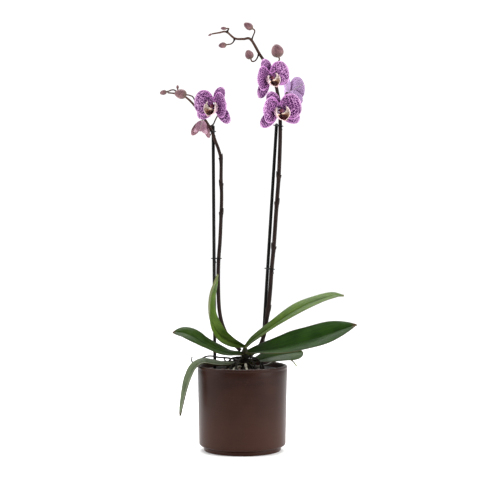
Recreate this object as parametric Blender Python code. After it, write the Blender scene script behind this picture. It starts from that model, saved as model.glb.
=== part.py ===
"""Potted moth orchid: a glazed cover pot, its nursery pot of bark, one plant with six leaves and
two flower spikes on stakes. Metres, +Z up, origin on the floor under the middle of the pot, and
the plant is seen from the front along +Y."""

import math

import bmesh
import bpy
from mathutils import Matrix, Vector

MM = 0.001
GAP = 0.3 * MM  # kept between two pieces that touch

# Cover pot
POT_RADIUS = 70 * MM
POT_HEIGHT = 133 * MM
POT_WALL = 5 * MM
POT_BASE_RADIUS = 67.6 * MM  # of the body, just above the foot
POT_FOOT_RADIUS = 60.3 * MM
POT_FOOT_HEIGHT = 7 * MM
POT_FLOOR = 9 * MM

# Nursery pot and the bark in it
LINER_TOP_RADIUS = 59 * MM
LINER_LIP_RADIUS = 61.5 * MM
LINER_BASE_RADIUS = 47 * MM
LINER_TOP = 125 * MM
LINER_WALL = 1.2 * MM
LINER_DRAIN_RADIUS = 8 * MM
BARK_TOP = 120 * MM

# Crown: the short stem that the leaves, roots and spikes grow from
CROWN_PLACE = Vector((4 * MM, 0, 0))
CROWN_BOTTOM = 111 * MM
CROWN_SOCKET_RADIUS = 9.5 * MM

STAKE_RADIUS = 2.6 * MM
LEAF_THICKNESS = 2.0 * MM
TEPAL_THICKNESS = 0.9  # before a flower is scaled
LIP_THICKNESS = 0.9
SWEEP_SIDES = 6


# ---------------------------------------------------------------- scene and materials

def clear_scene():
    """Removes whatever the scene starts with."""
    for old in list(bpy.data.objects):
        bpy.data.objects.remove(old)


def make_material(name, colour, roughness, metallic=0.0):
    """A Principled BSDF of one colour."""
    material = bpy.data.materials.new(name)
    material.use_nodes = True
    shader = material.node_tree.nodes["Principled BSDF"]
    shader.inputs["Base Color"].default_value = colour
    shader.inputs["Roughness"].default_value = roughness
    shader.inputs["Metallic"].default_value = metallic
    return material


def make_object(name, bm, material, parent=None, helper=False):
    """An object from a bmesh. A helper takes part in a Boolean and is no piece of its own."""
    mesh = bpy.data.meshes.new(name)
    bm.to_mesh(mesh)
    bm.free()
    mesh.shade_smooth()
    mesh.set_sharp_from_angle(angle=math.radians(40))
    mesh.materials.append(material)
    obj = bpy.data.objects.new(name, mesh)
    bpy.context.scene.collection.objects.link(obj)
    obj.parent = parent
    if helper:
        obj.hide_render = True
        obj.display_type = "WIRE"
    return obj


def add_boolean(obj, other, operation):
    """Joins the other object to obj, or cuts it out."""
    modifier = obj.modifiers.new(operation.title() + " " + other.name, "BOOLEAN")
    modifier.operation = operation
    modifier.object = other


# ---------------------------------------------------------------- curves and swept pieces

def in_metres(points):
    """Points given in millimetres, as vectors in metres."""
    return [Vector(point) * MM for point in points]


def smooth_route(points, per_span):
    """A Catmull-Rom curve through the points, with per_span steps between two of them."""
    ends = [points[0] * 2 - points[1]] + points + [points[-1] * 2 - points[-2]]
    route = []
    for before, start, end, after in zip(ends, ends[1:], ends[2:], ends[3:]):
        for step in range(per_span):
            t = step / per_span
            route.append(
                (
                    start * 2
                    + (end - before) * t
                    + (before * 2 - start * 5 + end * 4 - after) * t**2
                    + (start * 3 - before - end * 3 + after) * t**3
                )
                / 2
            )
    return route + [points[-1]]


def point_along(route, share):
    """The point and direction at this share of the route's steps, from 0 to 1."""
    place = share * (len(route) - 1)
    index = min(int(place), len(route) - 2)
    step = route[index + 1] - route[index]
    return route[index] + step * (place - index), step.normalized()


def swept(route, radius_at, sides=SWEEP_SIDES, closed=False):
    """A tube along the route, whose ends are capped, or joined if it is closed. radius_at gives
    the radius at a share of the route."""
    bm = bmesh.new()
    last = len(route) - 1
    before = turn = None
    rings = []
    for index, centre in enumerate(route):
        ahead = route[(index + 1) % len(route)] if closed else route[min(index + 1, last)]
        behind = route[index - 1] if closed else route[max(index - 1, 0)]
        direction = (ahead - behind).normalized()
        if turn is None:
            turn = direction.to_track_quat("Z", "Y")
        else:
            turn = before.rotation_difference(direction) @ turn
        before = direction
        circle = bmesh.ops.create_circle(
            bm, cap_ends=not closed and index in (0, last), segments=sides,
            radius=radius_at(index / last), matrix=Matrix.LocRotScale(centre, turn, None),
        )
        rings.append(list({edge for vertex in circle["verts"] for edge in vertex.link_edges}))
    pairs = list(zip(rings, rings[1:]))
    if closed:
        pairs.append((rings[-1], rings[0]))
    for lower, upper in pairs:
        bmesh.ops.bridge_loops(bm, edges=lower + upper)
    bmesh.ops.recalc_face_normals(bm, faces=bm.faces)
    return bm


def taper(start, end, late=1):
    """A radius that goes from start to end: evenly, or more of it near the end if late is over 1."""
    return lambda share: start + (end - start) * share**late


def turned(name, profile, steps, material):
    """A piece turned about Z. The profile is (radius, height) pairs, up the inside and down the
    outside, in metres."""
    bm = bmesh.new()
    points = [bm.verts.new((radius, 0, height)) for radius, height in profile]
    for start, end in zip(points, points[1:]):
        bm.edges.new((start, end))
    obj = make_object(name, bm, material)
    screw = obj.modifiers.new("Turn", "SCREW")
    screw.steps = steps
    screw.render_steps = steps
    screw.use_merge_vertices = True
    screw.merge_threshold = 0.00005
    return obj


def arc(centre, radius, start, end, steps):
    """Points on an arc, as (radius, height) pairs. Angles are in degrees."""
    angles = [math.radians(start + (end - start) * step / steps) for step in range(steps + 1)]
    return [(centre[0] + radius * math.cos(a), centre[1] + radius * math.sin(a)) for a in angles]


# ---------------------------------------------------------------- pot, nursery pot and bark

def build_pot(material):
    """The cover pot: a slightly tapered cylinder with a round rim and a narrower foot."""
    rim = POT_WALL / 2
    corner = 4 * MM
    body_bottom = POT_FOOT_HEIGHT + 5 * MM
    inner_base = POT_BASE_RADIUS - POT_WALL
    profile = [(0, POT_FLOOR), (inner_base - corner, POT_FLOOR), (inner_base, POT_FLOOR + corner)]
    profile += arc((POT_RADIUS - rim, POT_HEIGHT - rim), rim, 180, 0, 6)
    profile += [(POT_BASE_RADIUS, body_bottom + 1.5 * MM)]
    profile += arc((POT_BASE_RADIUS - corner, body_bottom), corner, 0, -60, 3)[1:]
    profile += [
        (POT_FOOT_RADIUS - 0.8 * MM, POT_FOOT_HEIGHT + 0.6 * MM),
        (POT_FOOT_RADIUS, POT_FOOT_HEIGHT - 0.8 * MM),
        (POT_FOOT_RADIUS - 0.3 * MM, 2.5 * MM),
        (POT_FOOT_RADIUS - 2.5 * MM, 0),
        (0, 0),
    ]
    return turned("pot", profile, 44, material)


def build_nursery_pot(material):
    """The thin pot inside, open at the top and with a drain hole in its floor."""
    floor = POT_FLOOR + GAP
    inner_floor = floor + LINER_WALL
    profile = [
        (LINER_DRAIN_RADIUS, inner_floor),
        (LINER_BASE_RADIUS - LINER_WALL, inner_floor),
        (LINER_TOP_RADIUS - LINER_WALL, LINER_TOP),
        (LINER_LIP_RADIUS, LINER_TOP),
        (LINER_LIP_RADIUS, LINER_TOP - 2.5 * MM),
        (LINER_TOP_RADIUS, LINER_TOP - 2.5 * MM),
        (LINER_BASE_RADIUS, floor),
        (LINER_DRAIN_RADIUS, floor),
    ]
    profile.append(profile[0])
    return turned("nursery_pot", profile, 32, material)


def build_bark(material):
    """The bark that fills the nursery pot, with sockets for the crown and the stakes."""
    bottom = POT_FLOOR + LINER_WALL + 2 * GAP
    slope = (LINER_TOP_RADIUS - LINER_BASE_RADIUS) / (LINER_TOP - POT_FLOOR)
    inside = LINER_BASE_RADIUS - LINER_WALL - 2 * GAP
    profile = [
        (0, BARK_TOP),
        (18 * MM, BARK_TOP),
        (inside + slope * (BARK_TOP - bottom) - 8 * MM, BARK_TOP - 0.5 * MM),
        (inside + slope * (BARK_TOP - bottom), BARK_TOP - 3 * MM),
        (inside, bottom),
        (0, bottom),
    ]
    bark = turned("bark", profile, 28, material)
    socket = [Vector((0, 0, CROWN_BOTTOM - GAP)), Vector((0, 0, BARK_TOP + 10 * MM))]
    socket = [CROWN_PLACE + point for point in socket]
    cut = swept(socket, taper(CROWN_SOCKET_RADIUS, CROWN_SOCKET_RADIUS), 12)
    add_boolean(bark, make_object("crown_socket", cut, material, helper=True), "DIFFERENCE")
    for name, ends in STAKES.items():
        foot, top = in_metres(ends)
        direction = (top - foot).normalized()
        bore = [foot - direction * GAP, foot + direction * (BARK_TOP + 20 * MM)]
        cut = swept(bore, taper(STAKE_RADIUS + GAP, STAKE_RADIUS + GAP), 10)
        add_boolean(bark, make_object(name + "_bore", cut, material, helper=True), "DIFFERENCE")
    return bark


# ---------------------------------------------------------------- crown, leaves and roots

def build_crown(material):
    """The short stem in the middle, widest where the lower leaves clasp it."""
    heights = [CROWN_BOTTOM, 118 * MM, 126 * MM, 136 * MM, 146 * MM, 154 * MM, 159.5 * MM]
    radii = [7 * MM, 8.8 * MM, 7 * MM, 6 * MM, 5.4 * MM, 5 * MM, 3.2 * MM]
    route = [CROWN_PLACE + Vector((0, 0, height)) for height in heights]
    bm = swept(route, lambda share: radii[round(share * (len(radii) - 1))], 10)
    return make_object("crown", bm, material)


LEAVES = {
    # name: its spine in millimetres; the directions that its upper side looks in, at its base,
    # middle and tip; half its greatest width; the share of its length where it is widest; and
    # how steeply its halves fold up from the midrib, in degrees
    "leaf_right_upper": (
        [(6.5, -0.5, 162), (21.5, 1.5, 175), (53.7, 5, 198), (86.7, 12, 218.5),
         (117.5, 20, 231.5), (143, 25, 239), (159.3, 28, 240)],
        [(-0.35, -0.36, 0.9), (-0.18, -0.4, 0.9), (0.15, -0.11, 0.98)], 16.5, 0.6, 12),
    "leaf_right_middle": (
        [(10.3, -3, 150.5), (31, -10, 155.3), (62, -18, 161.6), (90, -24, 169.4),
         (118, -30, 178.1), (146, -35, 188.4), (174.8, -40, 199)],
        [(-0.27, -0.32, 0.91), (-0.24, -0.6, 0.76), (-0.16, -0.64, 0.75)], 26, 0.49, 21),
    "leaf_right_lower": (
        [(11.2, 1, 136), (32, 6, 141), (52, 14, 145), (70, 22, 147.5), (85, 29, 149), (96, 34, 149)],
        [(-0.2, -0.4, 1), (0, -0.75, 1), (0.3, -0.6, 1)], 19, 0.52, 12),
    "leaf_left_upper": (
        [(1.5, -0.5, 162), (-19.3, -2, 169.2), (-37.3, -3.5, 181.8), (-48, -5, 201.2),
         (-50.8, -6, 223), (-48.4, -6, 244.3), (-42.3, -6, 261), (-37.2, -5, 274)],
        [(0, -0.9, 0.1), (0.91, -0.37, 0.17), (0.99, -0.08, -0.12)], 15.4, 0.48, 25),
    "leaf_left_middle": (
        [(-2.6, -2.5, 149.5), (-21.3, -8, 151), (-39.4, -12, 157.2), (-57.7, -16, 166.7),
         (-73, -19, 176.5), (-90.4, -20, 184.2), (-107.2, -19, 185.4)],
        [(0.3, -0.39, 0.87), (0.2, -0.45, 0.87), (-0.33, -0.5, 0.8)], 17.5, 0.58, 15),
    "leaf_left_lower": (
        [(-3.8, -3.5, 134.5), (-26, -9, 134), (-45, -13, 136), (-61, -17, 138), (-73, -20, 131),
         (-81, -21, 115), (-87, -21, 97), (-92, -20, 77), (-97, -18, 56)],
        [(0.1, -0.3, 1), (-0.6, -0.34, 1), (-1, -0.3, 0.1)], 16, 0.6, 18),
}


def leaf_width(share, widest):
    """How wide a leaf is at this share of its length, from its narrow base to its tip."""
    base = 0.30
    if share < widest:
        return base + (1 - base) * math.sin(math.pi / 2 * share / widest)
    past = (share - widest) / (1 - widest)
    return max(0.05, math.cos(math.pi / 2 * past**1.7) ** 0.8)


def build_leaf(name, spine, faces, half_width, widest, fold, material):
    """A leaf along its spine, folded up on both sides of its midrib."""
    stations, strips = 12, 4
    route = smooth_route(in_metres(spine), 6)
    looks = smooth_route([Vector(face).normalized() for face in faces], stations // 2)
    bm = bmesh.new()
    bmesh.ops.create_grid(bm, x_segments=stations, y_segments=strips, size=1)
    for vertex in bm.verts:
        even, across = (vertex.co.x + 1) / 2, vertex.co.y
        share = (even + math.sin(math.pi / 2 * even)) / 2  # closer together near the tip
        centre, direction = point_along(route, share)
        look, _ = point_along(looks, share)
        side = direction.cross(look).normalized()
        up = side.cross(direction)
        angle = math.radians(fold) * (1.15 - 0.6 * share)
        reach = half_width * MM * leaf_width(share, widest) * across
        vertex.co = centre + side * reach * math.cos(angle) + up * abs(reach) * math.sin(angle)
    leaf = make_object(name, bm, material)
    add_thickness(leaf, LEAF_THICKNESS)


def build_leaves(material):
    """Six leaves in two ranks, three to each side."""
    for name, (spine, faces, half_width, widest, fold) in LEAVES.items():
        build_leaf(name, spine, faces, half_width, widest, fold, material)


ROOTS = {
    # name: route, radius at the crown and radius at its tip, in millimetres
    "root_left_curl": (
        [(-3.6, 6, 138), (-20, 12.5, 142), (-37, 12, 143.5), (-48, 12, 145.5), (-58, 11, 144.5),
         (-68, 8, 139), (-75, 5, 135), (-79, 4, 138.5), (-78.5, 4, 146)], 1.6, 1.1),
    "root_left_hook": (
        [(-2.2, 7.5, 134), (-12, 14, 132.5), (-20, 18, 134), (-27, 20, 137.5), (-29.5, 20, 143)],
        1.5, 0.9),
    "root_right": (
        [(12.5, 6.5, 131), (24, 15.5, 128.5), (40, 25, 131), (56, 37, 137), (70, 46, 138.5),
         (80, 50, 133), (86.5, 50, 124.5)], 1.7, 1.1),
    "root_front": (
        [(5.5, -8.7, 134), (5, -16, 135), (6.5, -25, 130), (8.5, -31, 124), (9, -33, 121.8)],
        2.0, 1.9),
    "root_front_left": (
        [(-2.8, -7.8, 131), (-8, -14, 131), (-13.5, -22, 128), (-15.5, -30, 122.2)], 2.0, 1.9),
    "root_left_flat": (
        [(-7, -2.5, 126), (-16, -11, 125), (-25, -19, 126), (-34, -25, 124.5)], 2.4, 2.0),
}


def build_roots(material):
    """Aerial roots that leave the crown above the bark."""
    for name, (points, start, end) in ROOTS.items():
        route = smooth_route(in_metres(points), 2)
        make_object(name, swept(route, taper(start * MM, end * MM)), material)


# ---------------------------------------------------------------- buds

BUDS = {
    # name: (middle, direction of its tip, half length, radius), in millimetres
    "bud_left_large": ((-96, 6, 554), (-1, 0, 0.15), 9.6, 9.0),
    "bud_left_small": ((-101, 15.5, 565.6), (0, -0.1, 1), 2.9, 2.5),
    "bud_left_end": ((-123.4, 15.6, 556.9), (-1, 0, -0.25), 5.4, 4.6),
    "bud_right_large": ((54.2, 14, 621.5), (-0.25, 0, 1), 10.6, 11.2),
    "bud_right_top": ((9.2, 20, 660.6), (-0.8, -0.1, 0.5), 8.0, 6.6),
    "bud_right_middle": ((10.5, 16, 615.9), (-0.4, 0, 1), 7.6, 7.7),
    "bud_right_lower": ((-31, 16.5, 630.4), (-1, 0, -0.15), 6.3, 5.4),
    "bud_right_upper": ((-29.3, 16.5, 656.6), (-1, 0, 0.05), 4.6, 3.1),
    "bud_right_tip": ((-50.6, 20, 647), (-1, 0, -0.6), 3.2, 1.9),
}


def bud_foot(name):
    """Where a bud's own stalk meets it, and the direction it grows in from there."""
    middle, tip, half_length, _ = BUDS[name]
    growth = Vector(tip).normalized()
    return (Vector(middle) - growth * half_length) * MM, growth


def build_buds(material):
    """Closed buds: egg shapes with a blunt point."""
    for name, (middle, tip, half_length, radius) in BUDS.items():
        bm = bmesh.new()
        bmesh.ops.create_uvsphere(bm, u_segments=9, v_segments=6, radius=1)
        for vertex in bm.verts:
            narrow = 1 - 0.16 * (1 + vertex.co.z)
            vertex.co.x *= radius * MM * narrow
            vertex.co.y *= radius * MM * narrow
            vertex.co.z *= half_length * MM
        bud = make_object(name, bm, material)
        bud.location = Vector(middle) * MM
        bud.rotation_mode = "QUATERNION"
        bud.rotation_quaternion = Vector(tip).to_track_quat("Z", "Y")


# ---------------------------------------------------------------- flowers
# A flower is built about its own axes: X to its right as seen from in front, Y up along the
# dorsal sepal, and Z out of its face. Lengths are in millimetres before its scale.

FLOWERS = {
    # name: place; yaw, pitch and roll of its face in degrees; scale; how far it is closed; and how
    # far its dorsal, left and right sepals lean out of their even places
    "flower_left_front": ((-43, -10, 534.5), -40, -8, 8, 1.0, 0, (-24, -6, 2)),
    "flower_left_drooping": ((-62.5, 12, 511), -64, -80, 60, 0.74, 46, (0, 0, 0)),
    "flower_right_lower": ((57, -4, 528), 30, -8, -11, 1.03, 0, (24, -8, 4)),
    "flower_right_upper": ((42.5, -2, 578.5), 38, -6, -18, 0.95, 0, (4, 4, 16)),
    "flower_right_back": ((74.5, 33, 557.5), 122, 4, 12, 0.92, 0, (0, 0, 0)),
}
HUB_BACK = -4.2  # how far behind its middle a flower meets its stalk
HUB_FRONT = -0.9
PETAL_TILT = 12  # of a petal above the flower's X axis, in degrees
CLOSED_PETAL_TILT = 40
LIP_SPREAD = 1.36  # how much wider than deep the lip's trough is
CLOSED_SIZE = 0.33  # of the lip and column of a flower that is still closing over them


def flower_turn(name):
    """The turn from a flower's own axes to the world's."""
    _, yaw, pitch, roll, _, _, _ = FLOWERS[name]
    return (
        Matrix.Rotation(math.radians(yaw), 3, "Z")
        @ Matrix.Rotation(math.radians(90 - pitch), 3, "X")
        @ Matrix.Rotation(math.radians(-roll), 3, "Z")
    )


def flower_foot(name):
    """Where a flower's stalk meets its back, and the direction that it faces in."""
    place, _, _, _, scale, _, _ = FLOWERS[name]
    face = flower_turn(name) @ Vector((0, 0, 1))
    return (Vector(place) + face * HUB_BACK * scale) * MM, face


def flower_frame(name):
    """An empty at the flower's middle, turned so that its Z looks out of the face."""
    place, _, _, _, scale, _, _ = FLOWERS[name]
    frame = bpy.data.objects.new(name + "_frame", None)
    bpy.context.scene.collection.objects.link(frame)
    frame.location = Vector(place) * MM
    frame.rotation_euler = flower_turn(name).to_euler()
    frame.scale = (scale,) * 3
    return frame


def tepal_width(share, widest, claw):
    """How wide a sepal or petal is along its length: a narrow claw and a round end."""
    if share < widest:
        rise = math.sin(math.pi / 2 * share / widest)
        return claw + (1 - claw) * rise**0.7
    past = (share - widest) / (1 - widest)
    return max(0.2, math.sqrt(max(0.0, 1 - past**2.2)))


def tepal_mesh(turn, start, length, half_width, widest, claw, lift, rise, bend, cup, shoulder=0):
    """A thin sheet that leaves the flower's middle at this turn from its X axis.

    lift is its height over the middle. rise is how far it slopes forward at its base and bend
    how much more by its end, in degrees. cup is how far its edges come forward, and shoulder how
    far they reach back beside its claw."""
    along, across = 5, 4
    base, curl = math.radians(rise), math.radians(bend)
    outward = Vector((math.cos(math.radians(turn)), math.sin(math.radians(turn)), 0))
    side = Vector((-outward.y, outward.x, 0))
    forward = Vector((0, 0, 1))
    bm = bmesh.new()
    bmesh.ops.create_grid(bm, x_segments=along, y_segments=across, size=1)
    for vertex in bm.verts:
        share, across_share = (vertex.co.x + 1) / 2, vertex.co.y
        slope = base + curl * share / 2
        reach = start + length * share * math.cos(slope)
        height = lift + length * share * math.sin(slope)
        edge = base + curl * share
        normal = forward * math.cos(edge) - outward * math.sin(edge)
        wide = half_width * tepal_width(share, widest, claw)
        reach -= shoulder * across_share**2 * (1 - share) ** 2 * min(1, share / 0.06)
        cupped = normal * cup * wide * across_share**2 * share
        spot = outward * reach + side * wide * across_share + forward * height + cupped
        vertex.co = spot * MM
    return bm


def add_thickness(obj, thickness):
    """Gives a sheet its thickness, half to each side."""
    solid = obj.modifiers.new("Thickness", "SOLIDIFY")
    solid.thickness = thickness
    solid.offset = 0


def build_sepals(name, frame, closed, leans, material):
    """The three sepals, grown together at the base behind the petals."""
    bm = bmesh.new()
    bmesh.ops.create_cone(
        bm, cap_ends=True, segments=10, radius1=2.0 * MM, radius2=3.4 * MM,
        depth=(HUB_FRONT - HUB_BACK) * MM,
        matrix=Matrix.Translation((0, 0, (HUB_BACK + HUB_FRONT) / 2 * MM)),
    )
    sepals = make_object(name + "_sepals", bm, material, frame)
    width = 10 if closed else 10.8
    # their bases cross, so each has a height of its own
    for part, turn, lean, length, lift, bend in (
        ("dorsal", 90, leans[0], 30, -2.5, -10),
        ("left", 216, leans[1], 38, -2.1, 8),
        ("right", 324, leans[2], 38, -1.75, 8),
    ):
        curl = 22 if closed else bend
        sheet = tepal_mesh(turn + lean, 1.6, length, width, 0.5, 0.25, lift, closed, curl, 0.12)
        sepal = make_object(f"{name}_sepal_{part}", sheet, material, frame, helper=True)
        add_thickness(sepal, TEPAL_THICKNESS * MM)
        add_boolean(sepals, sepal, "UNION")


def build_petals(name, frame, closed, material):
    """The two broad petals in front of the sepals."""
    tilt = CLOSED_PETAL_TILT if closed else PETAL_TILT
    for part, turn, lift in (("left", 180 - tilt, 0.4), ("right", tilt, 1.6)):
        if closed:
            sheet = tepal_mesh(turn, 2.7, 26, 8.5, 0.55, 0.16, 2.4, closed + 8, 16, 0.2)
        else:
            sheet = tepal_mesh(turn, 3.2, 31.5, 20, 0.5, 0.14, lift, 8, 16, 0.12, 5)
        petal = make_object(f"{name}_petal_{part}", sheet, material, frame)
        add_thickness(petal, TEPAL_THICKNESS * MM)


def build_lip(name, frame, closed, material):
    """The lip: a trough whose side lobes stand beside the column, and a tongue in front."""
    size = CLOSED_SIZE if closed else 1.0
    bm = bmesh.new()
    bmesh.ops.create_grid(bm, x_segments=6, y_segments=6, size=1)
    for vertex in bm.verts:
        share, across = (vertex.co.x + 1) / 2, vertex.co.y
        lobe = math.exp(-(((share - 0.38) / 0.32) ** 2))
        radius = 3.6 + 5.8 * lobe
        curl = math.radians(24 + 98 * lobe) * across * (1 - 0.5 * share**3)
        x = LIP_SPREAD * radius * math.sin(curl)
        y = -5.2 - 10.2 * (1 - math.exp(-share / 0.4)) + radius * (1 - math.cos(curl))
        vertex.co = Vector((x, y, 2.8 + 13.5 * share)) * MM * size
    lip = make_object(name + "_lip", bm, material, frame)
    add_thickness(lip, LIP_THICKNESS * MM)


def build_column(name, frame, closed, material):
    """The column in the middle, which leans a little down over the lip."""
    size = CLOSED_SIZE if closed else 1.0
    route = [Vector(point) * MM * size for point in COLUMN_ROUTE]
    radii = [radius * MM * size for radius in COLUMN_RADII]
    bm = swept(route, lambda share: radii[round(share * (len(radii) - 1))], 8)
    make_object(name + "_column", bm, material, frame)


COLUMN_ROUTE = [(0, 0, 0.4), (0, 0.2, 3.4), (0, -0.1, 6.4), (0, -0.9, 9)]
COLUMN_RADII = [2.1, 2.2, 2.8, 1.9]


def build_flowers(tepal, lip, column):
    """Each flower from its sepals, petals, lip and column."""
    for name, settings in FLOWERS.items():
        frame, (closed, leans) = flower_frame(name), settings[-2:]
        build_sepals(name, frame, closed, leans, tepal)
        build_petals(name, frame, closed, tepal)
        build_lip(name, frame, closed, lip)
        build_column(name, frame, closed, column)


# ---------------------------------------------------------------- stakes, spikes and ties

STAKES = {
    "stake_left": ((-42.6, 14, 33), (-46.1, 28, 507)),
    "stake_right": ((24.3, 30, 33), (53.6, 30, 510)),
}

SPIKES = {
    # stem: its route; radii: at its foot and tip; sheaths: heights of the sheaths round the stem;
    # stalks: for each flower and bud, the start of its stalk's route
    "spike_left": {
        "stem": [(-3.5, 8.5, 155), (-14, 15.5, 165), (-25.5, 21, 180), (-33, 22, 199),
                 (-36.8, 22, 222), (-38, 22, 256), (-37.6, 22, 292), (-35.2, 22, 326),
                 (-33.5, 22, 366), (-32.7, 22, 396), (-33.5, 22, 422), (-33.6, 22, 452),
                 (-36.9, 22, 467), (-42.3, 22, 481.5), (-47.5, 21, 496), (-55, 21, 509.5),
                 (-65, 21, 523.5), (-75.8, 22, 538), (-87, 21.5, 549), (-98, 20, 554.5),
                 (-117.5, 19, 557)],
        "radii": (3.1, 1.2),
        "sheaths": (369, 414, 454),
        "stalks": {
            "flower_left_front": [(-51.5, 21, 503.5), (-45.5, 20, 508), (-42, 17, 515),
                                  (-37, 13, 524), (-34.5, 6, 531.5)],
            "flower_left_drooping": [(-58.5, 20.5, 514.5), (-60, 18, 516.5)],
            "bud_left_large": [(-73.4, 21.5, 535), (-74.5, 15, 544.5), (-77.5, 10, 550)],
            "bud_left_small": [(-103.5, 19.5, 555.3), (-102.5, 17, 558.5)],
            "bud_left_end": [(-99, 19.8, 554.7), (-105, 17.5, 560.3), (-110, 16, 561)],
        },
    },
    "spike_right": {
        "stem": [(11.5, 9, 146), (19, 16.5, 152.5), (28, 22, 161.5), (34.2, 24, 179), (37.4, 24, 198),
                 (40.8, 24, 220), (43.8, 24, 252), (45.8, 24, 281.5), (49, 24, 315),
                 (53, 24, 373), (56.6, 24, 422), (58, 24, 452), (59, 24, 483), (59.2, 24, 503),
                 (59, 24, 518), (58, 24, 533.5), (56, 24, 550.5), (52.4, 24, 568), (46.6, 23, 585),
                 (39, 22, 599), (27.2, 21, 616.5), (12.9, 20, 639.8), (1.5, 20, 640.5),
                 (-12, 20, 641.5), (-25, 20, 651.5), (-36.4, 20, 650.3), (-46, 20, 648.6)],
        "radii": (3.4, 1.2),
        "sheaths": (218, 315, 385, 427),
        "stalks": {
            "flower_right_lower": [(58.3, 23.5, 526), (58.5, 16, 533), (56.5, 10, 535)],
            "flower_right_upper": [(50, 23.5, 575), (46, 16, 582), (42, 10, 584)],
            "flower_right_back": [(58.8, 24.5, 526), (64, 29, 536), (67, 31, 546)],
            "bud_right_large": [(44, 22.5, 590), (49, 19, 597), (54.5, 16, 603)],
            "bud_right_top": [(14, 20, 638), (16.5, 20.5, 645), (18.9, 20.8, 651)],
            "bud_right_middle": [(26, 21, 618), (22, 18.5, 609), (18, 16.5, 605.5)],
            "bud_right_lower": [(-12, 20, 641.5), (-14, 18.5, 636), (-18, 17, 632.5)],
            "bud_right_upper": [(-24.5, 20, 651), (-22.5, 18.5, 654)],
            "bud_right_tip": [],
        },
    },
}
STALK_RADIUS = 1.1 * MM
STEM_LATE_TAPER = 2.5
SHEATH_LENGTH = 9 * MM


def build_stakes(material):
    """A straight stake beside each spike, from low in the bark to the first flower."""
    for name, ends in STAKES.items():
        stake = swept(in_metres(ends), taper(STAKE_RADIUS, STAKE_RADIUS), 8)
        make_object(name, stake, material)


def stem_route(spike):
    """The smooth route of a spike's stem, in metres."""
    return smooth_route(in_metres(SPIKES[spike]["stem"]), 2)


def at_height(route, height):
    """The share of an upward route where it passes this height."""
    for index, (start, end) in enumerate(zip(route, route[1:])):
        if start.z <= height < end.z:
            return (index + (height - start.z) / (end.z - start.z)) / (len(route) - 1)
    raise ValueError(f"the route doesn't pass {height}")


def stalk_route(points, foot, growth):
    """From the stem to a flower's or a bud's foot, which it meets square on."""
    end = foot - growth * GAP
    return smooth_route(in_metres(points) + [end - growth * 3 * MM, end], 2)


def build_spikes(material):
    """Each flower spike as grown: one stem with its sheaths and its stalks."""
    for name, spike in SPIKES.items():
        start, end = (radius * MM for radius in spike["radii"])
        route = stem_route(name)
        radius_at = taper(start, end, STEM_LATE_TAPER)
        stem = make_object(name, swept(route, radius_at), material)
        for height in spike["sheaths"]:
            middle = height * MM
            shares = [at_height(route, middle + step * SHEATH_LENGTH / 2) for step in (-1, 0, 1)]
            ring = [point_along(route, share)[0] for share in shares]
            radius = radius_at(shares[1])
            sheath = swept(ring, lambda share: radius * (1.32 - 0.14 * share), 8)
            helper = make_object(f"{name}_sheath_{height}", sheath, material, helper=True)
            add_boolean(stem, helper, "UNION")
        for target, points in spike["stalks"].items():
            foot, growth = flower_foot(target) if target in FLOWERS else bud_foot(target)
            if points:
                branch = swept(stalk_route(points, foot, growth), taper(STALK_RADIUS, STALK_RADIUS))
                helper = make_object(f"{name}_to_{target}", branch, material, helper=True)
                add_boolean(stem, helper, "UNION")


TIES = {
    # name: (stake, spike, height in millimetres, how far its left end is raised in degrees)
    "tie_left_lower": ("stake_left", "spike_left", 298, 0),
    "tie_left_upper": ("stake_left", "spike_left", 497, 0),
    "tie_right_lower": ("stake_right", "spike_right", 281.5, 5),
    "tie_right_upper": ("stake_right", "spike_right", 506, 8),
}
TIE_WIRE_RADIUS = 0.8 * MM
TIE_CORNER_STEPS = 6


def build_ties(material):
    """A wire tie in a flat loop round each stake and its stem."""
    for name, (stake, spike, height, tilt) in TIES.items():
        middles = []
        for route in (in_metres(STAKES[stake]), stem_route(spike)):
            middles.append(point_along(route, at_height(route, height * MM))[0])
        span = middles[1] - middles[0]
        along = span.normalized()
        beside = along.cross(Vector((0, 0, 1)))
        corner = SPIKES[spike]["radii"][0] * MM + TIE_WIRE_RADIUS + GAP
        loop = []
        for end, middle in ((-1, middles[0]), (1, middles[1])):
            for step in range(TIE_CORNER_STEPS):
                angle = math.pi * (step / (TIE_CORNER_STEPS - 1) - 0.5)
                loop.append(middle + (along * math.cos(angle) + beside * math.sin(angle)) * corner * end)
        centre = (middles[0] + middles[1]) / 2
        lean = Matrix.Rotation(math.radians(tilt), 3, "Y")
        loop = [centre + lean @ (point - centre) for point in loop]
        wire = swept(loop, taper(TIE_WIRE_RADIUS, TIE_WIRE_RADIUS), 4, closed=True)
        make_object(name, wire, material)


# ---------------------------------------------------------------- the whole plant

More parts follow.
